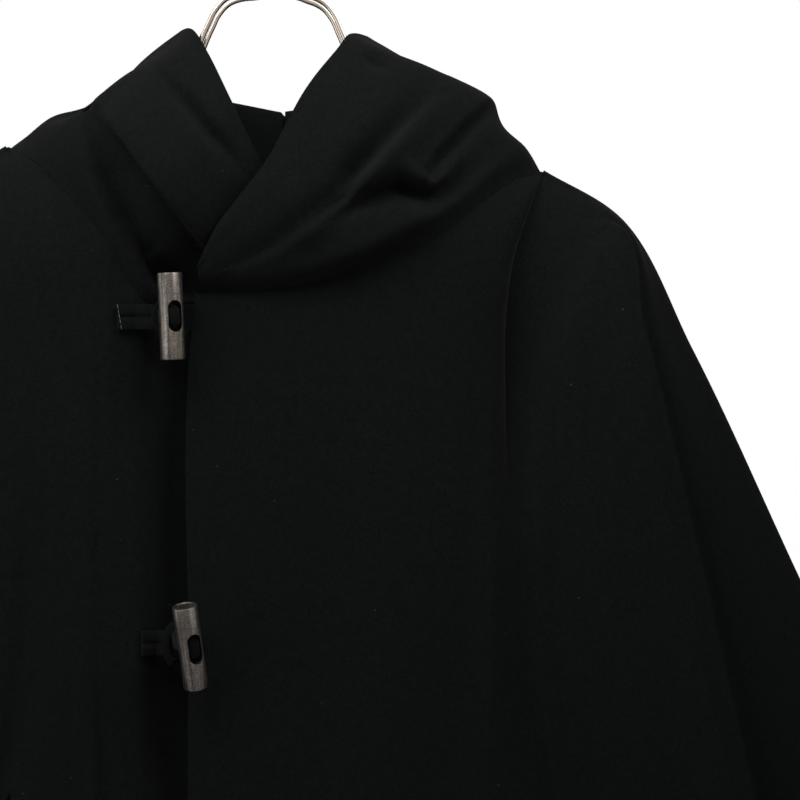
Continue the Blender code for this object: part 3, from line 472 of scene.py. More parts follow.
def draw_back(points, gap):
    """Takes the first row of points back from its seam by the gap."""
    along = points[1] - points[0]
    points[0] += gap * along / np.linalg.norm(along, axis=1)[:, None]


def sleeve_points(side, front, back):
    """Outer points of a sleeve: rows from armhole to cuff, columns round it from the crown down the front."""
    front_edge = front[:ARMHOLE_ROWS, -1]
    back_edge = back[:ARMHOLE_ROWS, -1 if side > 0 else 0]
    crown = (front_edge[0] + back_edge[0]) / 2 + np.array([0, 0, 0.0012])
    over = np.arange(CROWN_COLUMNS)[:, None] / CROWN_COLUMNS
    half = (front_edge[0] - back_edge[0]) / 2
    bend = (front_edge[0] + back_edge[0]) / 2 - crown
    ahead = crown + half * over + bend * over**2
    behind = (crown - half * over + bend * over**2)[:0:-1]
    armhole = np.concatenate([ahead, front_edge, back_edge[-2::-1], behind])
    down = CROWN_TURN + (0.5 - CROWN_TURN) * np.linspace(0, 1, ARMHOLE_ROWS)
    first = CROWN_TURN * over[:, 0]
    turns = np.concatenate([first, down, 1 - down[-2::-1], 1 - first[:0:-1]])
    table = np.array([[row[0], *row[1], *row[2], *row[3], *row[4]] for row in SLEEVE], float)
    table[:, 1:] /= MM
    before, after = table[-3:].copy(), table[:3].copy()
    before[:, 0] -= 1
    after[:, 0] += 1
    closed = np.vstack([before, table, after])
    lines = smooth(closed[:, 0], closed[:, 1:], turns).reshape(len(turns), 4, 3)
    if side < 0:
        lines = lines * np.array([-1, 1, 1]) + np.array([SHIFT, 0, RISE])
    stations = np.concatenate([armhole[:, None], lines], axis=1).transpose(1, 0, 2)
    hang = np.linspace(0, 1, SLEEVE_ROWS) ** 1.15
    points = smooth(SLEEVE_STATIONS, stations, hang)
    draw_back(points, ARMHOLE_GAP)
    drape = np.zeros((SLEEVE_ROWS, len(turns)))
    for place, width, height in SLEEVE_FOLDS:
        drape += height * np.exp(-(((turns - place) / width) ** 2))
    drape *= ease(0.02, 0.40, hang)[:, None]
    points = points + normals(points, side, wrap=True) * drape[..., None]
    return eased_armhole(side, points)


def eased_armhole(side, points, tail=0):
    """Fills the groove between panel and sleeve where the cloth runs on smoothly, in front only.

    tail is how many of a panel's last columns are set at even steps first, so that they don't fold over.
    """
    x, y, z = points[..., 0].copy(), points[..., 1], points[..., 2]
    ridge_x, ridge_y, end_x, _ = side_of_body(side, z)
    starts, out, out_y, depth, valley_starts = ARMHOLE_EASED[side]
    amount = ease(*starts, z) * (1 - ease(*ARMHOLE_EASED_END, z))
    if tail:
        last = x[:, -tail:]
        x[:, -tail:] += (np.linspace(last[:, 0], last[:, -1], tail, axis=1) - last) * amount[:, -tail:]
    along = (x - ridge_x) / (end_x + side * out - ridge_x)
    level = (ridge_y - 0.0005 + (out_y - ridge_y) * np.clip(along, 0, 1)) * shoulder_roll(x, z)
    valley = np.exp(-(((x - end_x - side * VALLEY_OUT) / VALLEY_WIDTH) ** 2))
    behind = y - level - depth * ease(*valley_starts, z) * valley
    move = (behind + np.sqrt(behind**2 + EASED_ROUND**2)) / 2
    near = ease(-0.9, -0.3, along) * (1 - ease(1.0, 1.9, along)) * ease(-0.001, -0.008, y)
    moved = points.copy()
    moved[..., 0] = x
    moved[..., 1] -= move * amount * near
    return moved


def on_edge(edge, x):
    """The points of a panel's top edge at these x."""
    edge = edge[np.argsort(edge[:, 0])]
    x = np.asarray(x, float)
    return np.stack([x, np.interp(x, edge[:, 0], edge[:, 1]), np.interp(x, edge[:, 0], edge[:, 2])], axis=-1)


def hood_rows(side, front):
    """Places round the hood half, x on the seam, and its six outer stations at each place."""
    rows = []
    v = np.array(HOOD_STATIONS[1:])[:, None]
    for place, seam_x, rim, bulge in HOOD_FRONT[side]:
        seam, rim = on_edge(front[0], seam_x / MM), np.array(rim) / MM
        middle = (seam + rim) / 2 + np.array(bulge) / MM
        line = seam * (1 - v) * (1 - 2 * v) + middle * 4 * v * (1 - v) + rim * v * (2 * v - 1)
        rows.append((place, seam_x / MM, line))
    line = np.array([(x, 0.0, z) for x, z in HOOD_SIDE[side]]) / MM
    rows.append((HOOD_SIDE_PLACE, NECK_END_X[side], line))
    for place, seam_x, *stations in HOOD_BACK:
        line = np.array(stations) / MM
        if side < 0:
            line = line * np.array([-1, 1, 1])
            line[:, 2] += rise(line[:, 0]) * np.array(HOOD_LIFT)
        rows.append((place, side * seam_x / MM, line))
    return rows


def hood_points(side, front, back):
    """Outer points of a hood half: rows from neck seam to rim, columns from front end to centre back."""
    rows = hood_rows(side, front)
    places = [row[0] for row in rows]
    to_side = np.linspace(0, HOOD_SIDE_PLACE, HOOD_FRONT_COLUMNS)
    to_back = np.linspace(HOOD_SIDE_PLACE, 1, HOOD_BACK_COLUMNS + 1)
    u = np.concatenate([to_side, to_back[1:]])
    seam_x = np.interp(u, places, [row[1] for row in rows])
    in_front = (u <= HOOD_SIDE_PLACE)[:, None]
    seam = np.where(in_front, on_edge(front[0], seam_x), on_edge(back[0], seam_x))
    turn = np.abs(u - HOOD_SIDE_PLACE) < HOOD_SIDE_TURN
    ends = np.flatnonzero(turn)[[0, -1]]
    seam[turn] = np.stack([np.interp(u[turn], u[ends], seam[ends, k]) for k in range(3)], axis=1)
    lines = smooth(places, np.array([row[2] for row in rows]), u)
    stations = np.concatenate([seam[:, None], lines], axis=1).transpose(1, 0, 2)
    v = np.linspace(0, 1, HOOD_ROWS)
    points = smooth(HOOD_STATIONS, stations, v)
    points[:, -1, 0] = side * SEAM_GAP / 2
    points = points + hood_folds(side, points, v)
    draw_back(points, HOOD_GAP)
    return points


def fold(x, z, line, left, right):
    """Height of one fold at x and z. It runs along the line's points and has its own width on either side."""
    line = np.array(line, float) / MM
    best = np.full(x.shape, np.inf)
    height = np.zeros(x.shape)
    across = np.zeros(x.shape)
    for start, end in zip(line[:-1], line[1:]):
        along = end[:2] - start[:2]
        f = np.clip(((x - start[0]) * along[0] + (z - start[1]) * along[1]) / (along @ along), 0, 1)
        dx, dz = x - start[0] - f * along[0], z - start[1] - f * along[1]
        gap = np.hypot(dx, dz)
        near = gap < best
        best = np.where(near, gap, best)
        height = np.where(near, start[2] + f * (end[2] - start[2]), height)
        across = np.where(near, along[0] * dz - along[1] * dx, across)
    width = np.where(across > 0, left, right) / MM
    return height * np.exp(-((best / width) ** 2))


def hood_folds(side, points, v):
    """Moves out or in at each point of the hood's front."""
    x, y, z = points[..., 0], points[..., 1], points[..., 2]
    out = np.zeros(x.shape)
    for on, line, left, right in HOOD_FOLDS:
        if on == side:
            out += fold(x, z, line, left, right)
    lean = np.maximum(out, 0)[..., None] * np.array(ROLL_LEAN if side < 0 else (0, 0, 0))
    out += RIM_ROLL * np.exp(-(((1 - v[:, None]) / 0.12) ** 2))
    front = ease(0.0, -0.03, y)
    hold = ease(0.0, 0.14 if side > 0 else 0.08, v)[:, None] * (1 - 0.6 * ease(0.86, 1.0, v)[:, None])
    moved = normals(points, side) * (out * front * hold)[..., None] + lean * (front * hold)[..., None]
    if side < 0:
        behind = (1 - front) * (1 - ease(0.03, 0.06, y))
        dent = DENT_DEPTH * np.exp(-(((x - DENT_X) / DENT_WIDTH) ** 2)) * behind
        moved[..., 2] -= dent * ease(0.0, 0.12, v)[:, None]
    return moved


def normals(points, side, wrap=False):
    """Outward unit normals of a grid."""
    if wrap:
        across = np.roll(points, -1, axis=1) - np.roll(points, 1, axis=1)
    else:
        across = np.gradient(points, axis=1)
    found = np.cross(across, np.gradient(points, axis=0)) * side
    return found / np.maximum(np.linalg.norm(found, axis=2)[..., None], 1e-12)


def softened(vectors, wrap=False, times=14):
    """Unit vectors averaged with their neighbours, so that the inside of a tight fold stays clean."""
    for _ in range(times):
        if wrap:
            sides = np.roll(vectors, 1, axis=1) + np.roll(vectors, -1, axis=1)
        else:
            wide = np.concatenate([vectors[:, :1], vectors, vectors[:, -1:]], axis=1)
            sides = wide[:, :-2] + wide[:, 2:]
        tall = np.concatenate([vectors[:1], vectors, vectors[-1:]])
        vectors = 2 * vectors + sides + tall[:-2] + tall[2:]
        vectors = vectors / np.linalg.norm(vectors, axis=2)[..., None]
    return vectors


def new_object(name, points, faces, look):
    mesh = bpy.data.meshes.new(name)
    mesh.from_pydata([tuple(map(float, p)) for p in points], [], faces)
    mesh.update()
    made = bpy.data.objects.new(name, mesh)
    bpy.context.scene.collection.objects.link(made)
    mesh.materials.append(look)
    mesh.polygons.foreach_set("use_smooth", [True] * len(mesh.polygons))
    return made


def ring_of(rows, columns, which, wrap):
    """Point numbers along one edge of a grid, round to the first again where the grid is a tube."""
    ring = {
        "top": np.arange(columns),
        "bottom": np.arange(columns) + (rows - 1) * columns,
        "start": np.arange(rows) * columns,
        "end": np.arange(rows) * columns + columns - 1,
    }[which]
    return np.append(ring, ring[0]) if wrap else ring


def wall(name, outer, thickness, side, look, edges, wrap=False, keep=0, middle=False):
    """A sheet of cloth. keep is the side of y 0 it stays on, and middle says that its end is at x 0."""
    inner = outer - thickness * softened(normals(outer, side, wrap), wrap)
    if keep:
        inner[..., 1] = keep * np.maximum(keep * inner[..., 1], SEAM_GAP / 2)
    if middle:
        outer[:, -1, 0] = side * SEAM_GAP / 2
        near = inner[:, -HOOD_SEAM_COLUMNS:, 0]
        inner[:, -HOOD_SEAM_COLUMNS:, 0] = side * np.maximum(side * near, SEAM_GAP / 2)
    return shell(name, outer, inner, side, look, edges, wrap)


def shell(name, outer, inner, side, look, edges, wrap=False):
    """A closed solid between two grids of points. edges gives each edge's rounding in metres."""
    rows, columns = outer.shape[:2]
    total = rows * columns
    r, c = np.meshgrid(np.arange(rows - 1), np.arange(columns if wrap else columns - 1), indexing="ij")
    a, b = r * columns, (r + 1) * columns
    d = (c + 1) % columns
    front = np.stack([a + c, a + d, b + d, b + c], axis=-1).reshape(-1, 4)
    rims = []
    for which in edges:
        ring = ring_of(rows, columns, which, wrap)
        p, q = ring[:-1], ring[1:]
        if which in ("bottom", "start"):
            p, q = q, p
        rims.append(np.stack([q, p, p + total, q + total], axis=-1))
    faces = np.concatenate([front, front[:, ::-1] + total, *rims])
    if side < 0:
        faces = faces[:, ::-1]
    points = np.concatenate([outer.reshape(-1, 3), inner.reshape(-1, 3)])
    made = new_object(name, points, faces.tolist(), look)
    round_edges(made, rows, columns, wrap, edges)
    return made


def round_edges(made, rows, columns, wrap, edges):
    """Gives the cloth's cut or folded edges their rounding, by bevel weights."""
    mesh = made.data
    most = max(edges.values())
    ends = np.empty(len(mesh.edges) * 2, np.int64)
    mesh.edges.foreach_get("vertices", ends)
    ends = np.sort(ends.reshape(-1, 2), axis=1)
    size = len(mesh.vertices)
    keys = ends[:, 0] * size + ends[:, 1]
    order = np.argsort(keys)
    weights = np.zeros(len(keys), np.float32)
    for which, radius in edges.items():
        ring = ring_of(rows, columns, which, wrap)
        for shift in (0, rows * columns):
            pair = np.sort(np.stack([ring[:-1], ring[1:]], axis=1) + shift, axis=1)
            found = order[np.searchsorted(keys[order], pair[:, 0] * size + pair[:, 1])]
            weights[found] = radius / most
    mesh.attributes.new("bevel_weight_edge", "FLOAT", "EDGE").data.foreach_set("value", weights)
    bevel = made.modifiers.new("Edges", "BEVEL")
    bevel.limit_method = "WEIGHT"
    bevel.width = most
    bevel.segments = 3


def noise(tree, scale, detail, stretch=(1, 1, 1), rough=0.5):
    """A noise texture on the object's own coordinates, in metres."""
    place = tree.nodes.new("ShaderNodeTexCoord")
    mapping = tree.nodes.new("ShaderNodeMapping")
    mapping.inputs["Scale"].default_value = stretch
    made = tree.nodes.new("ShaderNodeTexNoise")
    made.inputs["Scale"].default_value = scale
    made.inputs["Detail"].default_value = detail
    made.inputs["Roughness"].default_value = rough
    tree.links.new(place.outputs["Object"], mapping.inputs["Vector"])
    tree.links.new(mapping.outputs["Vector"], made.inputs["Vector"])
    return made.outputs["Fac"]


def ramp(tree, value, stops):
    made = tree.nodes.new("ShaderNodeValToRGB")
    elements = made.color_ramp.elements
    for i, (place, colour) in enumerate(stops):
        element = elements[i] if i < 2 else elements.new(place)
        element.position = place
        element.color = (*colour, 1.0)
    tree.links.new(value, made.inputs["Fac"])
    return made.outputs["Color"]


def feed(tree, socket, value):
    """Links an output to a socket, or sets the socket to a plain value."""
    if isinstance(value, bpy.types.NodeSocket):
        tree.links.new(value, socket)
    else:
        socket.default_value = value


def mixed(tree, mode, factor, first, second):
    made = tree.nodes.new("ShaderNodeMix")
    made.data_type = "RGBA"
    made.blend_type = mode
    for name, value in (("Factor", factor), ("A", first), ("B", second)):
        feed(tree, made.inputs[name], value)
    return made.outputs["Result"]


def calculated(tree, operation, *values):
    made = tree.nodes.new("ShaderNodeMath")
    made.operation = operation
    for i, value in enumerate(values):
        feed(tree, made.inputs[i], value)
    return made.outputs["Value"]


def bumped(tree, shader, height, strength, distance, before=None):
    made = tree.nodes.new("ShaderNodeBump")
    made.inputs["Strength"].default_value = strength
    made.inputs["Distance"].default_value = distance
    tree.links.new(height, made.inputs["Height"])
    if before is not None:
        tree.links.new(before, made.inputs["Normal"])
    tree.links.new(made.outputs["Normal"], shader.inputs["Normal"])
    return made.outputs["Normal"]


def new_material(name):
    made = bpy.data.materials.new(name)
    made.use_nodes = True
    return made.node_tree, made.node_tree.nodes["Principled BSDF"], made


def wool_material(name, dark, light):
    """Brushed wool: fine nap, soft mottling, a few pale specks of lint, and a little sheen."""
    tree, shader, made = new_material(name)
    mottle = noise(tree, 230, 4, rough=0.6)
    nap = noise(tree, 1300, 3, (1, 1, 0.5))
    colour = ramp(tree, mottle, ((0.30, dark), (0.70, light)))
    grain = ramp(tree, nap, ((0.32, (0.74, 0.74, 0.74)), (0.68, (1.22, 1.22, 1.22))))
    colour = mixed(tree, "MULTIPLY", 1.0, colour, grain)
    place = tree.nodes.new("ShaderNodeTexCoord")
    cells = tree.nodes.new("ShaderNodeTexVoronoi")
    cells.inputs["Scale"].default_value = 62
    tree.links.new(place.outputs["Object"], cells.inputs["Vector"])
    near = calculated(tree, "LESS_THAN", cells.outputs["Distance"], 0.030)
    parts = tree.nodes.new("ShaderNodeSeparateColor")
    tree.links.new(cells.outputs["Color"], parts.inputs["Color"])
    chosen = calculated(tree, "GREATER_THAN", parts.outputs["Red"], 0.55)
    speck = calculated(tree, "MULTIPLY", near, chosen)
    colour = mixed(tree, "MIX", calculated(tree, "MULTIPLY", speck, 0.30), colour, (0.20, 0.20, 0.19, 1.0))
    tree.links.new(colour, shader.inputs["Base Color"])
    tree.links.new(calculated(tree, "MULTIPLY_ADD", nap, 0.16, 0.84), shader.inputs["Roughness"])
    shader.inputs["Specular IOR Level"].default_value = 0.0
    shader.inputs["Sheen Weight"].default_value = 0.035
    shader.inputs["Sheen Roughness"].default_value = 0.5
    shader.inputs["Sheen Tint"].default_value = (0.98, 0.90, 0.92, 1.0)
    felt = bumped(tree, shader, noise(tree, 420, 4, rough=0.65), 0.30, 0.0007)
    bumped(tree, shader, nap, 0.55, 0.0005, felt)
    return made


def antique_metal(name):
    """Grey cast metal with darker pits, patches and lengthwise streaks."""
    tree, shader, made = new_material(name)
    streaks = noise(tree, 420, 3, (1, 1, 0.05))
    pits = noise(tree, 1400, 3)
    patches = noise(tree, 190, 3)
    colour = ramp(tree, streaks, ((0.30, (0.152, 0.147, 0.137)), (0.72, (0.405, 0.390, 0.361))))
    worn = ramp(tree, patches, ((0.3, (0.7, 0.68, 0.66)), (0.7, (1, 1, 1))))
    colour = mixed(tree, "MULTIPLY", 0.8, colour, worn)
    dots = ramp(tree, pits, ((0.40, (0.22, 0.22, 0.21)), (0.54, (1, 1, 1))))
    colour = mixed(tree, "MULTIPLY", 0.65, colour, dots)
    tree.links.new(colour, shader.inputs["Base Color"])
    shader.inputs["Metallic"].default_value = 1.0
    tree.links.new(calculated(tree, "MULTIPLY_ADD", streaks, 0.18, 0.30), shader.inputs["Roughness"])
    first = bumped(tree, shader, streaks, 0.20, 0.0002)
    bumped(tree, shader, pits, 0.35, 0.0002, first)
    return made


def polished_steel(name):
    """Polished wire with fine drawing lines and faint smudges."""
    tree, shader, made = new_material(name)
    lines = noise(tree, 1500, 2, (1, 1, 0.2))
    smudge = noise(tree, 55, 3)
    colour = ramp(tree, smudge, ((0.3, (0.66, 0.62, 0.56)), (0.7, (0.82, 0.77, 0.70))))
    tree.links.new(colour, shader.inputs["Base Color"])
    shader.inputs["Metallic"].default_value = 1.0
    tree.links.new(calculated(tree, "MULTIPLY_ADD", smudge, 0.14, 0.10), shader.inputs["Roughness"])
    bumped(tree, shader, lines, 0.06, 0.0001)
    return made


def thread_material(name, colour):
    tree, shader, made = new_material(name)
    twist = noise(tree, 2600, 2)
    dark = tuple(0.6 * value for value in colour)
    tree.links.new(ramp(tree, twist, ((0.3, dark), (0.7, colour))), shader.inputs["Base Color"])
    shader.inputs["Roughness"].default_value = 0.7
    bumped(tree, shader, twist, 0.4, 0.0001)
    return made


def strips(rings, sides, closed=False):
    """Faces between rings of points that follow each other."""
    faces = []
    for i in range(rings if closed else rings - 1):
        after = (i + 1) % rings
        for c in range(sides):
            d = (c + 1) % sides
            faces.append((i * sides + c, i * sides + d, after * sides + d, after * sides + c))
    return faces


def capped(rings, sides):
    """The same with a flat face at either end."""
    last = (rings - 1) * sides
    return strips(rings, sides) + [tuple(range(sides))[::-1], tuple(range(last, last + sides))]


def pointed(rings, sides):
    """The same with a fan at either end, to the two points that come after the rings."""
    faces = strips(rings, sides)
    last = (rings - 1) * sides
    for c in range(sides):
        d = (c + 1) % sides
        faces.append((rings * sides, d, c))
        faces.append((rings * sides + 1, last + c, last + d))
    return faces


def revolved(profile, sides, z=0.0):
    """Rings of points round Z, one for each radius and height."""
    turns = np.arange(sides) * 2 * math.pi / sides
    return [(r * math.cos(a), r * math.sin(a), z + height) for r, height in profile for a in turns]


def rod(name, path, radius, look, closed=False, sides=20):
    """A round rod along a path, with domed ends or closed on itself."""
    path = np.asarray(path, float)
    if closed:
        along = np.roll(path, -1, axis=0) - np.roll(path, 1, axis=0)
    else:
        along = np.gradient(path, axis=0)
    along /= np.linalg.norm(along, axis=1)[:, None]
    side = np.cross(along, np.array([0.0, 1.0, 0.02]))
    side /= np.linalg.norm(side, axis=1)[:, None]
    up = np.cross(side, along)
    rings = [(p, s, t, radius) for p, s, t in zip(path, side, up)]
    if not closed:
        caps = [(0.30, 0.94), (0.70, 0.70), (0.95, 0.30)]
        rings = [(path[0] - along[0] * radius * h, side[0], up[0], radius * r) for h, r in caps[::-1]] + rings
        rings += [(path[-1] + along[-1] * radius * h, side[-1], up[-1], radius * r) for h, r in caps]
    angles = np.arange(sides) * 2 * math.pi / sides
    points = []
    for p, s, t, r in rings:
        points += [p + r * (math.cos(a) * s + math.sin(a) * t) for a in angles]
    faces = strips(len(rings), sides, True) if closed else capped(len(rings), sides)
    return new_object(name, points, faces, look)


def turned(centre, lean, tip, turn):
    """A toggle's matrix from its lean in the picture's plane, tip to the viewer and turn about its length."""
    placed = Matrix.Translation(Vector(centre))
    for angle, axis in ((-lean, "Y"), (tip, "X"), (turn, "Z")):
        placed = placed @ Matrix.Rotation(math.radians(angle), 4, axis)
    return placed


def oval(width, height, steps):
    r = width / 2
    straight = (height - width) / 2
    top = [(r * math.cos(a), straight + r * math.sin(a)) for a in np.linspace(0, math.pi, steps)]
    return top + [(-x, -z) for x, z in top]


def applied(made):
    """Bakes the object's modifiers into its mesh."""
    graph = bpy.context.evaluated_depsgraph_get()
    mesh = bpy.data.meshes.new_from_object(made.evaluated_get(graph))
    made.modifiers.clear()
    made.data = mesh
    return made


def make_toggle(number, placed, look):
    """A barrel with slightly hollow ends and an oval hole through it."""
    half, r = TOGGLE_LENGTH / 2, TOGGLE_RADIUS
    profile = [(r * 0.70, half - 0.0005), (r * 0.76, half - 0.0001), (r - 0.0009, half)]
    profile += [(r - 0.0003, half - 0.0003), (r, half - 0.0010)]
    profile += [(r - 0.00012, half * 0.5), (r - 0.00018, 0.0)]
    profile += [(radius, -height) for radius, height in profile[-2::-1]]
    sides = 72
    points = revolved(profile, sides) + [(0, 0, half - 0.0005), (0, 0, 0.0005 - half)]
    made = outward(new_object("toggle_" + number + "_metal", points, pointed(len(profile), sides), look))
    outline = oval(*TOGGLE_HOLE, 24)
    bar = [(x, y, z) for y in (-2 * r, 2 * r) for x, z in outline]
    cutter = outward(new_object("hole", bar, capped(2, len(outline)), look))
    made.matrix_world = cutter.matrix_world = placed
    cut = made.modifiers.new("Hole", "BOOLEAN")
    cut.solver = "EXACT"
    cut.object = cutter
    soft = made.modifiers.new("Soft", "BEVEL")
    soft.limit_method = "ANGLE"
    soft.angle_limit = math.radians(40)
    soft.width = 0.0004
    soft.segments = 3
    bpy.context.view_layer.update()
    applied(made)
    bpy.data.objects.remove(cutter)
    made.data.polygons.foreach_set("use_smooth", [True] * len(made.data.polygons))
    return made


def lower_face(x, z):
    """y of the lower front at x and z."""
    s = np.linspace(0, 1, 241)
    along_x, along_y = section_of_front(-1, np.full(len(s), z), s)
    order = np.argsort(along_x)
    return np.interp(x, along_x[order], along_y[order])


def make_strap(number, centre, placed, sewn_x, look):
    """The folded tab from its sewn end to behind the toggle, and the neck that goes through the toggle."""
    neck_x = centre[0] + STRAP_NECK[0] / 2 - 0.0004
    f = np.linspace(0, 1, 48)
    h = np.linspace(1, -1, 25)
    x = sewn_x + (neck_x - sewn_x) * f
    face = lower_face(x, centre[2])
    y = np.minimum(face - STRAP_THICK - STRAP_CLEAR, face + (STRAP_REACH - face) * ease(0.0, 0.62, f))
    groove = 0.0009 * np.exp(-((h / 0.13) ** 2))
    pillow = -0.0005 * np.cos(np.clip(np.abs(np.abs(h) - 0.5) / 0.5, 0, 1) * math.pi / 2)
    outer = np.empty((len(h), len(f), 3))
    outer[..., 0] = x
    outer[..., 1] = y + (groove + pillow)[:, None]
    outer[..., 2] = centre[2] + h[:, None] * STRAP_HEIGHT / 2
    edges = {"top": 0.0011, "bottom": 0.0011, "start": 0.0006, "end": 0.0006}
    tab = wall("strap_" + number + "_cloth", outer, STRAP_THICK, -1, look, edges)
    outline = oval(*STRAP_NECK, 16)
    front, back = -TOGGLE_RADIUS * 0.82, STRAP_REACH + 0.0012 - centre[1]
    steps = ((0.55, front + 0.0002), (0.86, front + 0.0008), (1.0, front + 0.0020), (1.0, back))
    points = [(px * scale, depth, pz * scale) for scale, depth in steps for px, pz in outline]
    points += [(0, front, 0), (0, back, 0)]
    neck = new_object("strap_" + number + "_neck", points, pointed(len(steps), len(outline)), look)
    neck.matrix_world = placed
    return tab, neck


def make_stitches(number, centre, sewn_x, look):
    """A short row of pale stitches down the strap's sewn end."""
    made = []
    for i, height in enumerate(np.linspace(STITCH_SPAN, -STITCH_SPAN, STITCHES)):
        x = sewn_x + 0.0012 - 0.0011 * height / STITCH_SPAN
        y = float(lower_face(x, centre[2])) - STRAP_THICK - STRAP_CLEAR - 0.00045
        z = centre[2] + height
        path = [(x - 0.00022 * f, y + 0.00035 * f * f, z + STITCH_HALF * f) for f in np.linspace(-1, 1, 7)]
        name = "strap_" + number + "_stitch_" + str(i + 1)
        made.append(outward(rod(name, path, STITCH_RADIUS, look, sides=10)))
    return made


def make_loop(number, z, left, height, band, roundness, look):
    """The flat band that comes out from under the upper front and goes round the strap's neck."""
    edge, face_y = (float(value) for value in by_height(UPPER_FRONT, z))
    half = (height - band) / 2
    bend = left + band / 2 + half * roundness
    sewn = edge + 0.012
    arm = [(sewn - (sewn - bend) * f, half) for f in np.linspace(0, 0.92, 14)]
    arc = [(bend - half * roundness * math.sin(a), half * math.cos(a)) for a in np.linspace(0, math.pi, 41)]
    path = np.array(arm + arc + [(x, -h) for x, h in arm[::-1]])
    along = np.gradient(path, axis=0)
    along /= np.linalg.norm(along, axis=1)[:, None]
    out = np.stack([-along[:, 1], along[:, 0]], axis=1)
    ahead = STRAP_REACH - LOOP_THICK / 2 - 0.0005
    under = face_y + 0.0008 + CLOTH + 0.0005 + LOOP_THICK / 2
    first = left + half * roundness
    depth = ahead + (under - ahead) * np.clip((path[:, 0] - first) / (edge - 0.0028 - first), 0, 1)
    across = np.linspace(-1, 1, 9)
    outer = np.empty((len(across), len(path), 3))
    crown = 0.0004 * (1 - across**2)[:, None]
    outer[..., 0] = path[:, 0] + across[:, None] * out[:, 0] * band / 2
    outer[..., 1] = depth - LOOP_THICK / 2 + 0.0004 - crown
    outer[..., 2] = z + path[:, 1] + across[:, None] * out[:, 1] * band / 2
    inner = outer.copy()
    inner[..., 1] = depth + LOOP_THICK / 2
    edges = {"top": 0.0009, "bottom": 0.0009, "start": 0.0004, "end": 0.0004}
    return outward(shell("loop_" + number + "_cloth", outer, inner, 1, look, edges))


def outward(made):
    """Turns the faces outward if the solid is inside out."""
    points = np.array([v.co[:] for v in made.data.vertices])
    volume = 0.0
    for face in made.data.polygons:
        i = face.vertices
        for k in range(1, len(i) - 1):
            volume += np.dot(points[i[0]], np.cross(points[i[k]], points[i[k + 1]]))
    if volume < 0:
        made.data.flip_normals()
    return made


def hanger_line(side):
    """x and z of the front rod from the hook's foot to one tip."""
    line = np.array(HANGER) / MM
    f = np.linspace(0, 1, 90) * (len(line) - 1)
    x, z = smooth(np.arange(len(line)), line, f).T
    if side < 0:
        x = -x + SHIFT * np.clip(x / 0.05, 0, 1)
        z = z + rise(x)
    return seen(np.stack([x, np.zeros(len(x)), z], axis=1))[:, [0, 2]]


def make_hanger(look):
    right, left = hanger_line(1), hanger_line(-1)
    front = np.concatenate([left[:0:-1], right])
    path = [(x, -ROD_SPREAD, z) for x, z in front]
    path += bend_round(right[-1], 1)
    path += [(x, ROD_SPREAD, z) for x, z in rear_line(front)[::-1]]
    path += bend_round(left[-1], -1)
    return outward(rod("hanger_rods", path, ROD_RADIUS, look, closed=True))


def rear_line(front):
    """The rear rod, which runs a little inside the front one from the hook's foot to the shoulders."""
    way = np.gradient(front, axis=0)
    way /= np.linalg.norm(way, axis=1)[:, None]
    across = np.abs(front[:, :1])
    inward = np.stack([way[:, 1], -way[:, 0]], axis=1)
    return front + REAR_INSIDE * inward * ease(0.006, 0.020, across) * (1 - ease(0.09, 0.16, across))


def bend_round(tip, side):
    """The bend at a tip, from one rod to the other."""
    made = []
    for a in np.linspace(0, math.pi, 14)[1:-1]:
        y = -side * ROD_SPREAD * math.cos(a)
        made.append((tip[0] + side * ROD_SPREAD * 0.8 * math.sin(a), y, tip[1] - 0.003 * math.sin(a)))
    return made


def make_hook(look):
    """The hook's wire and the turned foot that holds it on the rods."""
    ring = HOOK_BEND + HOOK_RADIUS
    top = hanger_line(1)[0, 1] + ROD_RADIUS + 0.0003
    path = [(0, 0, top + h) for h in np.linspace(0.0020, 0.012, 8)]
    for a in np.linspace(math.radians(-72), math.radians(205), 70):
        path.append((ring * math.cos(a), 0, -HOOK_BEND + ring * math.sin(a)))
    hook = outward(rod("hook_wire", path, HOOK_RADIUS, look))
    sides = 40
    foot = new_object("hook_foot", revolved(HOOK_FOOT, sides, top), capped(len(HOOK_FOOT), sides), look)
    return hook, outward(foot)


def area_light(name, place, target, size, energy, colour):
    lamp = bpy.data.lights.new(name, "AREA")
    lamp.shape = "RECTANGLE"
    lamp.size, lamp.size_y = size
    lamp.energy = energy
    lamp.color = colour
    made = bpy.data.objects.new(name, lamp)
    bpy.context.scene.collection.objects.link(made)
    made.location = place
    made.visible_camera = False
    made.rotation_euler = (Vector(target) - Vector(place)).to_track_quat("-Z", "Y").to_euler()


def make_camera():
    """The photo's view: straight on, with the plane of the fronts as wide as in the picture."""
    camera = bpy.data.cameras.new("camera")
    made = bpy.data.objects.new("camera", camera)
    bpy.context.scene.collection.objects.link(made)
    made.location = (VIEW_X, VIEW_PLANE_Y - VIEW_DISTANCE, VIEW_Z)
    made.rotation_euler = (math.radians(90), 0, 0)
    camera.sensor_width = SENSOR
    camera.lens = SENSOR * VIEW_DISTANCE / VIEW_WIDTH
    bpy.context.scene.camera = made


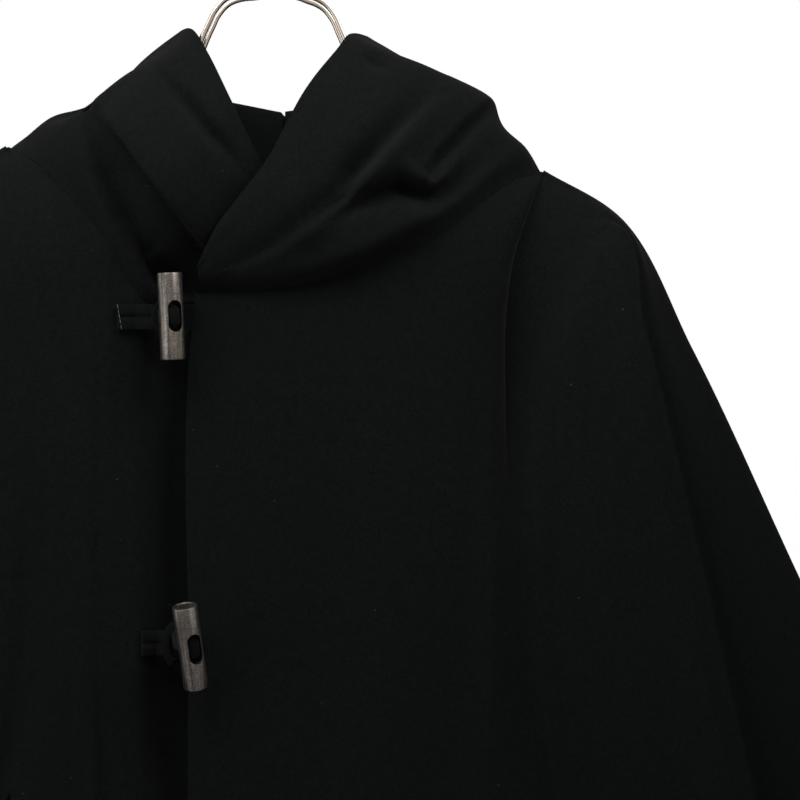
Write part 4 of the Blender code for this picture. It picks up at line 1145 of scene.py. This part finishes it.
def make_world():
    """White to the camera, dim to the cloth but for a glow from behind, and a bright band for the metal."""
    world = bpy.data.worlds.new("studio")
    bpy.context.scene.world = world
    world.use_nodes = True
    tree = world.node_tree
    background = tree.nodes["Background"]
    direction = tree.nodes.new("ShaderNodeTexCoord")
    parts = tree.nodes.new("ShaderNodeSeparateXYZ")
    tree.links.new(direction.outputs["Generated"], parts.inputs["Vector"])
    up = calculated(tree, "MULTIPLY_ADD", parts.outputs["Z"], 0.5, 0.5)
    back = calculated(tree, "MULTIPLY_ADD", parts.outputs["Y"], 0.5, 0.5)
    shade = ramp(tree, up, ((0.30, (0.02, 0.02, 0.02)), (0.85, (0.10, 0.10, 0.10))))
    behind = ramp(tree, parts.outputs["Y"], ((0.66, (0, 0, 0)), (0.98, (1.0, 1.0, 1.0))))
    behind = mixed(tree, "MULTIPLY", 1.0, behind, (5.5, 5.0, 5.2, 1.0))
    shade = mixed(tree, "ADD", 1.0, shade, behind)
    mirrored = ramp(tree, back, ((0.42, (0.56, 0.50, 0.46)), (0.64, (1.5, 1.5, 1.5))))
    path = tree.nodes.new("ShaderNodeLightPath")
    colour = mixed(tree, "MIX", path.outputs["Is Glossy Ray"], shade, mirrored)
    colour = mixed(tree, "MIX", path.outputs["Is Camera Ray"], colour, (1.0, 1.0, 1.0, 1.0))
    tree.links.new(colour, background.inputs["Color"])
    background.inputs["Strength"].default_value = 1.0
    bpy.context.scene.view_settings.view_transform = "Standard"


def make_floor():
    """A plain pale disc below the hem."""
    sides = 64
    rim = revolved([(FLOOR_RADIUS, FLOOR_Z)], sides)
    tree, shader, look = new_material("floor")
    colour = ramp(tree, noise(tree, 6, 4), ((0.3, (0.60, 0.60, 0.59)), (0.7, (0.63, 0.63, 0.62))))
    tree.links.new(colour, shader.inputs["Base Color"])
    shader.inputs["Roughness"].default_value = 0.8
    floor = new_object("floor", rim, [tuple(range(sides))], look)


def grid_size(outer, wrap=False):
    """Area, longest row and longest column of a grid in metres."""
    across = (np.roll(outer, -1, axis=1) - outer) if wrap else np.diff(outer, axis=1)
    down = np.diff(outer, axis=0)
    if wrap:
        cell = np.cross(across[:-1], down)
    else:
        cell = np.cross(across[:-1], down[:, :-1])
    return (
        float(np.linalg.norm(cell, axis=2).sum()),
        float(np.linalg.norm(across, axis=2).sum(axis=1).max()),
        float(np.linalg.norm(down, axis=2).sum(axis=0).max()),
    )


def dress(made, node=None):
    """Puts a piece on the body, in place of its CAD node where it has one."""
    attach(made, "root")
    if node:
        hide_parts(node)


def make_cloth(look):
    fronts = {side: front_points(side) for side in (1, -1)}
    back = back_points()
    seam, armhole, free = 0.0002, 0.0001, 0.0012
    panel_edges = {"top": seam, "bottom": free, "start": free, "end": armhole}
    back_edges = {"top": seam, "bottom": free, "start": armhole, "end": armhole}
    sleeve_edges = {"top": armhole, "bottom": free}
    hood_edges = {"top": seam, "bottom": free, "start": free, "end": seam}
    pieces = []

    def cloth(node, points, thickness, side, edges, held, wrap=False, **more):
        outer = seen(points)
        area, width, length = grid_size(outer, wrap)
        made = wall(node + "_cloth", outer, thickness, side, look, edges, wrap=wrap, **more)
        dress(made, node)
        pieces.append((made, node, (width, length), area, held))

    for side, name in ((1, "left"), (-1, "right")):
        points = eased_armhole(side, fronts[side], FRONT_TAIL)
        cloth("front_" + name, points, CLOTH, -side, panel_edges, "hung", keep=-1)
    cloth("back", back, CLOTH, 1, back_edges, "hung", keep=1)
    for side, name in ((1, "left"), (-1, "right")):
        points = sleeve_points(side, fronts[side], back)
        cloth("sleeve_" + name, points, CLOTH, side, sleeve_edges, "hung", wrap=True)
        points = hood_points(side, fronts[side], back)
        cloth("hood_" + name, points, HOOD_CLOTH, side, hood_edges, "folded", middle=True)
    return pieces


def make_fastenings(wool, metal, thread):
    """The toggles, straps and loops. Returns the cloth ones by the front that they are sewn to."""
    sewn = {"front_left": [], "front_right": []}
    for number, centre, lean, tip, turn, sewn_x, loop_shape in FASTENINGS:
        placed = turned(centre, lean, tip, turn)
        dress(make_toggle(number, placed, metal), "toggle_" + number)
        tab, neck = make_strap(number, centre, placed, sewn_x, wool)
        dress(tab, "strap_" + number)
        dress(neck)
        if number == "1":
            for stitch in make_stitches(number, centre, sewn_x, thread):
                dress(stitch)
        loop = make_loop(number, centre[2], *loop_shape, wool)
        dress(loop, "loop_" + number)
        sewn["front_left"].append(loop)
        sewn["front_right"] += [tab, neck]
    return sewn


def main():
    make_camera()
    make_world()
    for light in LIGHTS:
        area_light(*light)
    make_floor()
    wool = wool_material("brushed_wool", (0.0101, 0.0118, 0.0111), (0.0126, 0.0146, 0.0139))
    metal = antique_metal("antique_metal")
    steel = polished_steel("polished_steel")
    thread = thread_material("thread", (0.16, 0.16, 0.155))
    pieces = make_cloth(wool)
    sewn = make_fastenings(wool, metal, thread)
    dress(make_hanger(steel), "hanger_frame")
    hook, foot = make_hook(steel)
    dress(hook, "hanger_hook")
    dress(foot)


main()
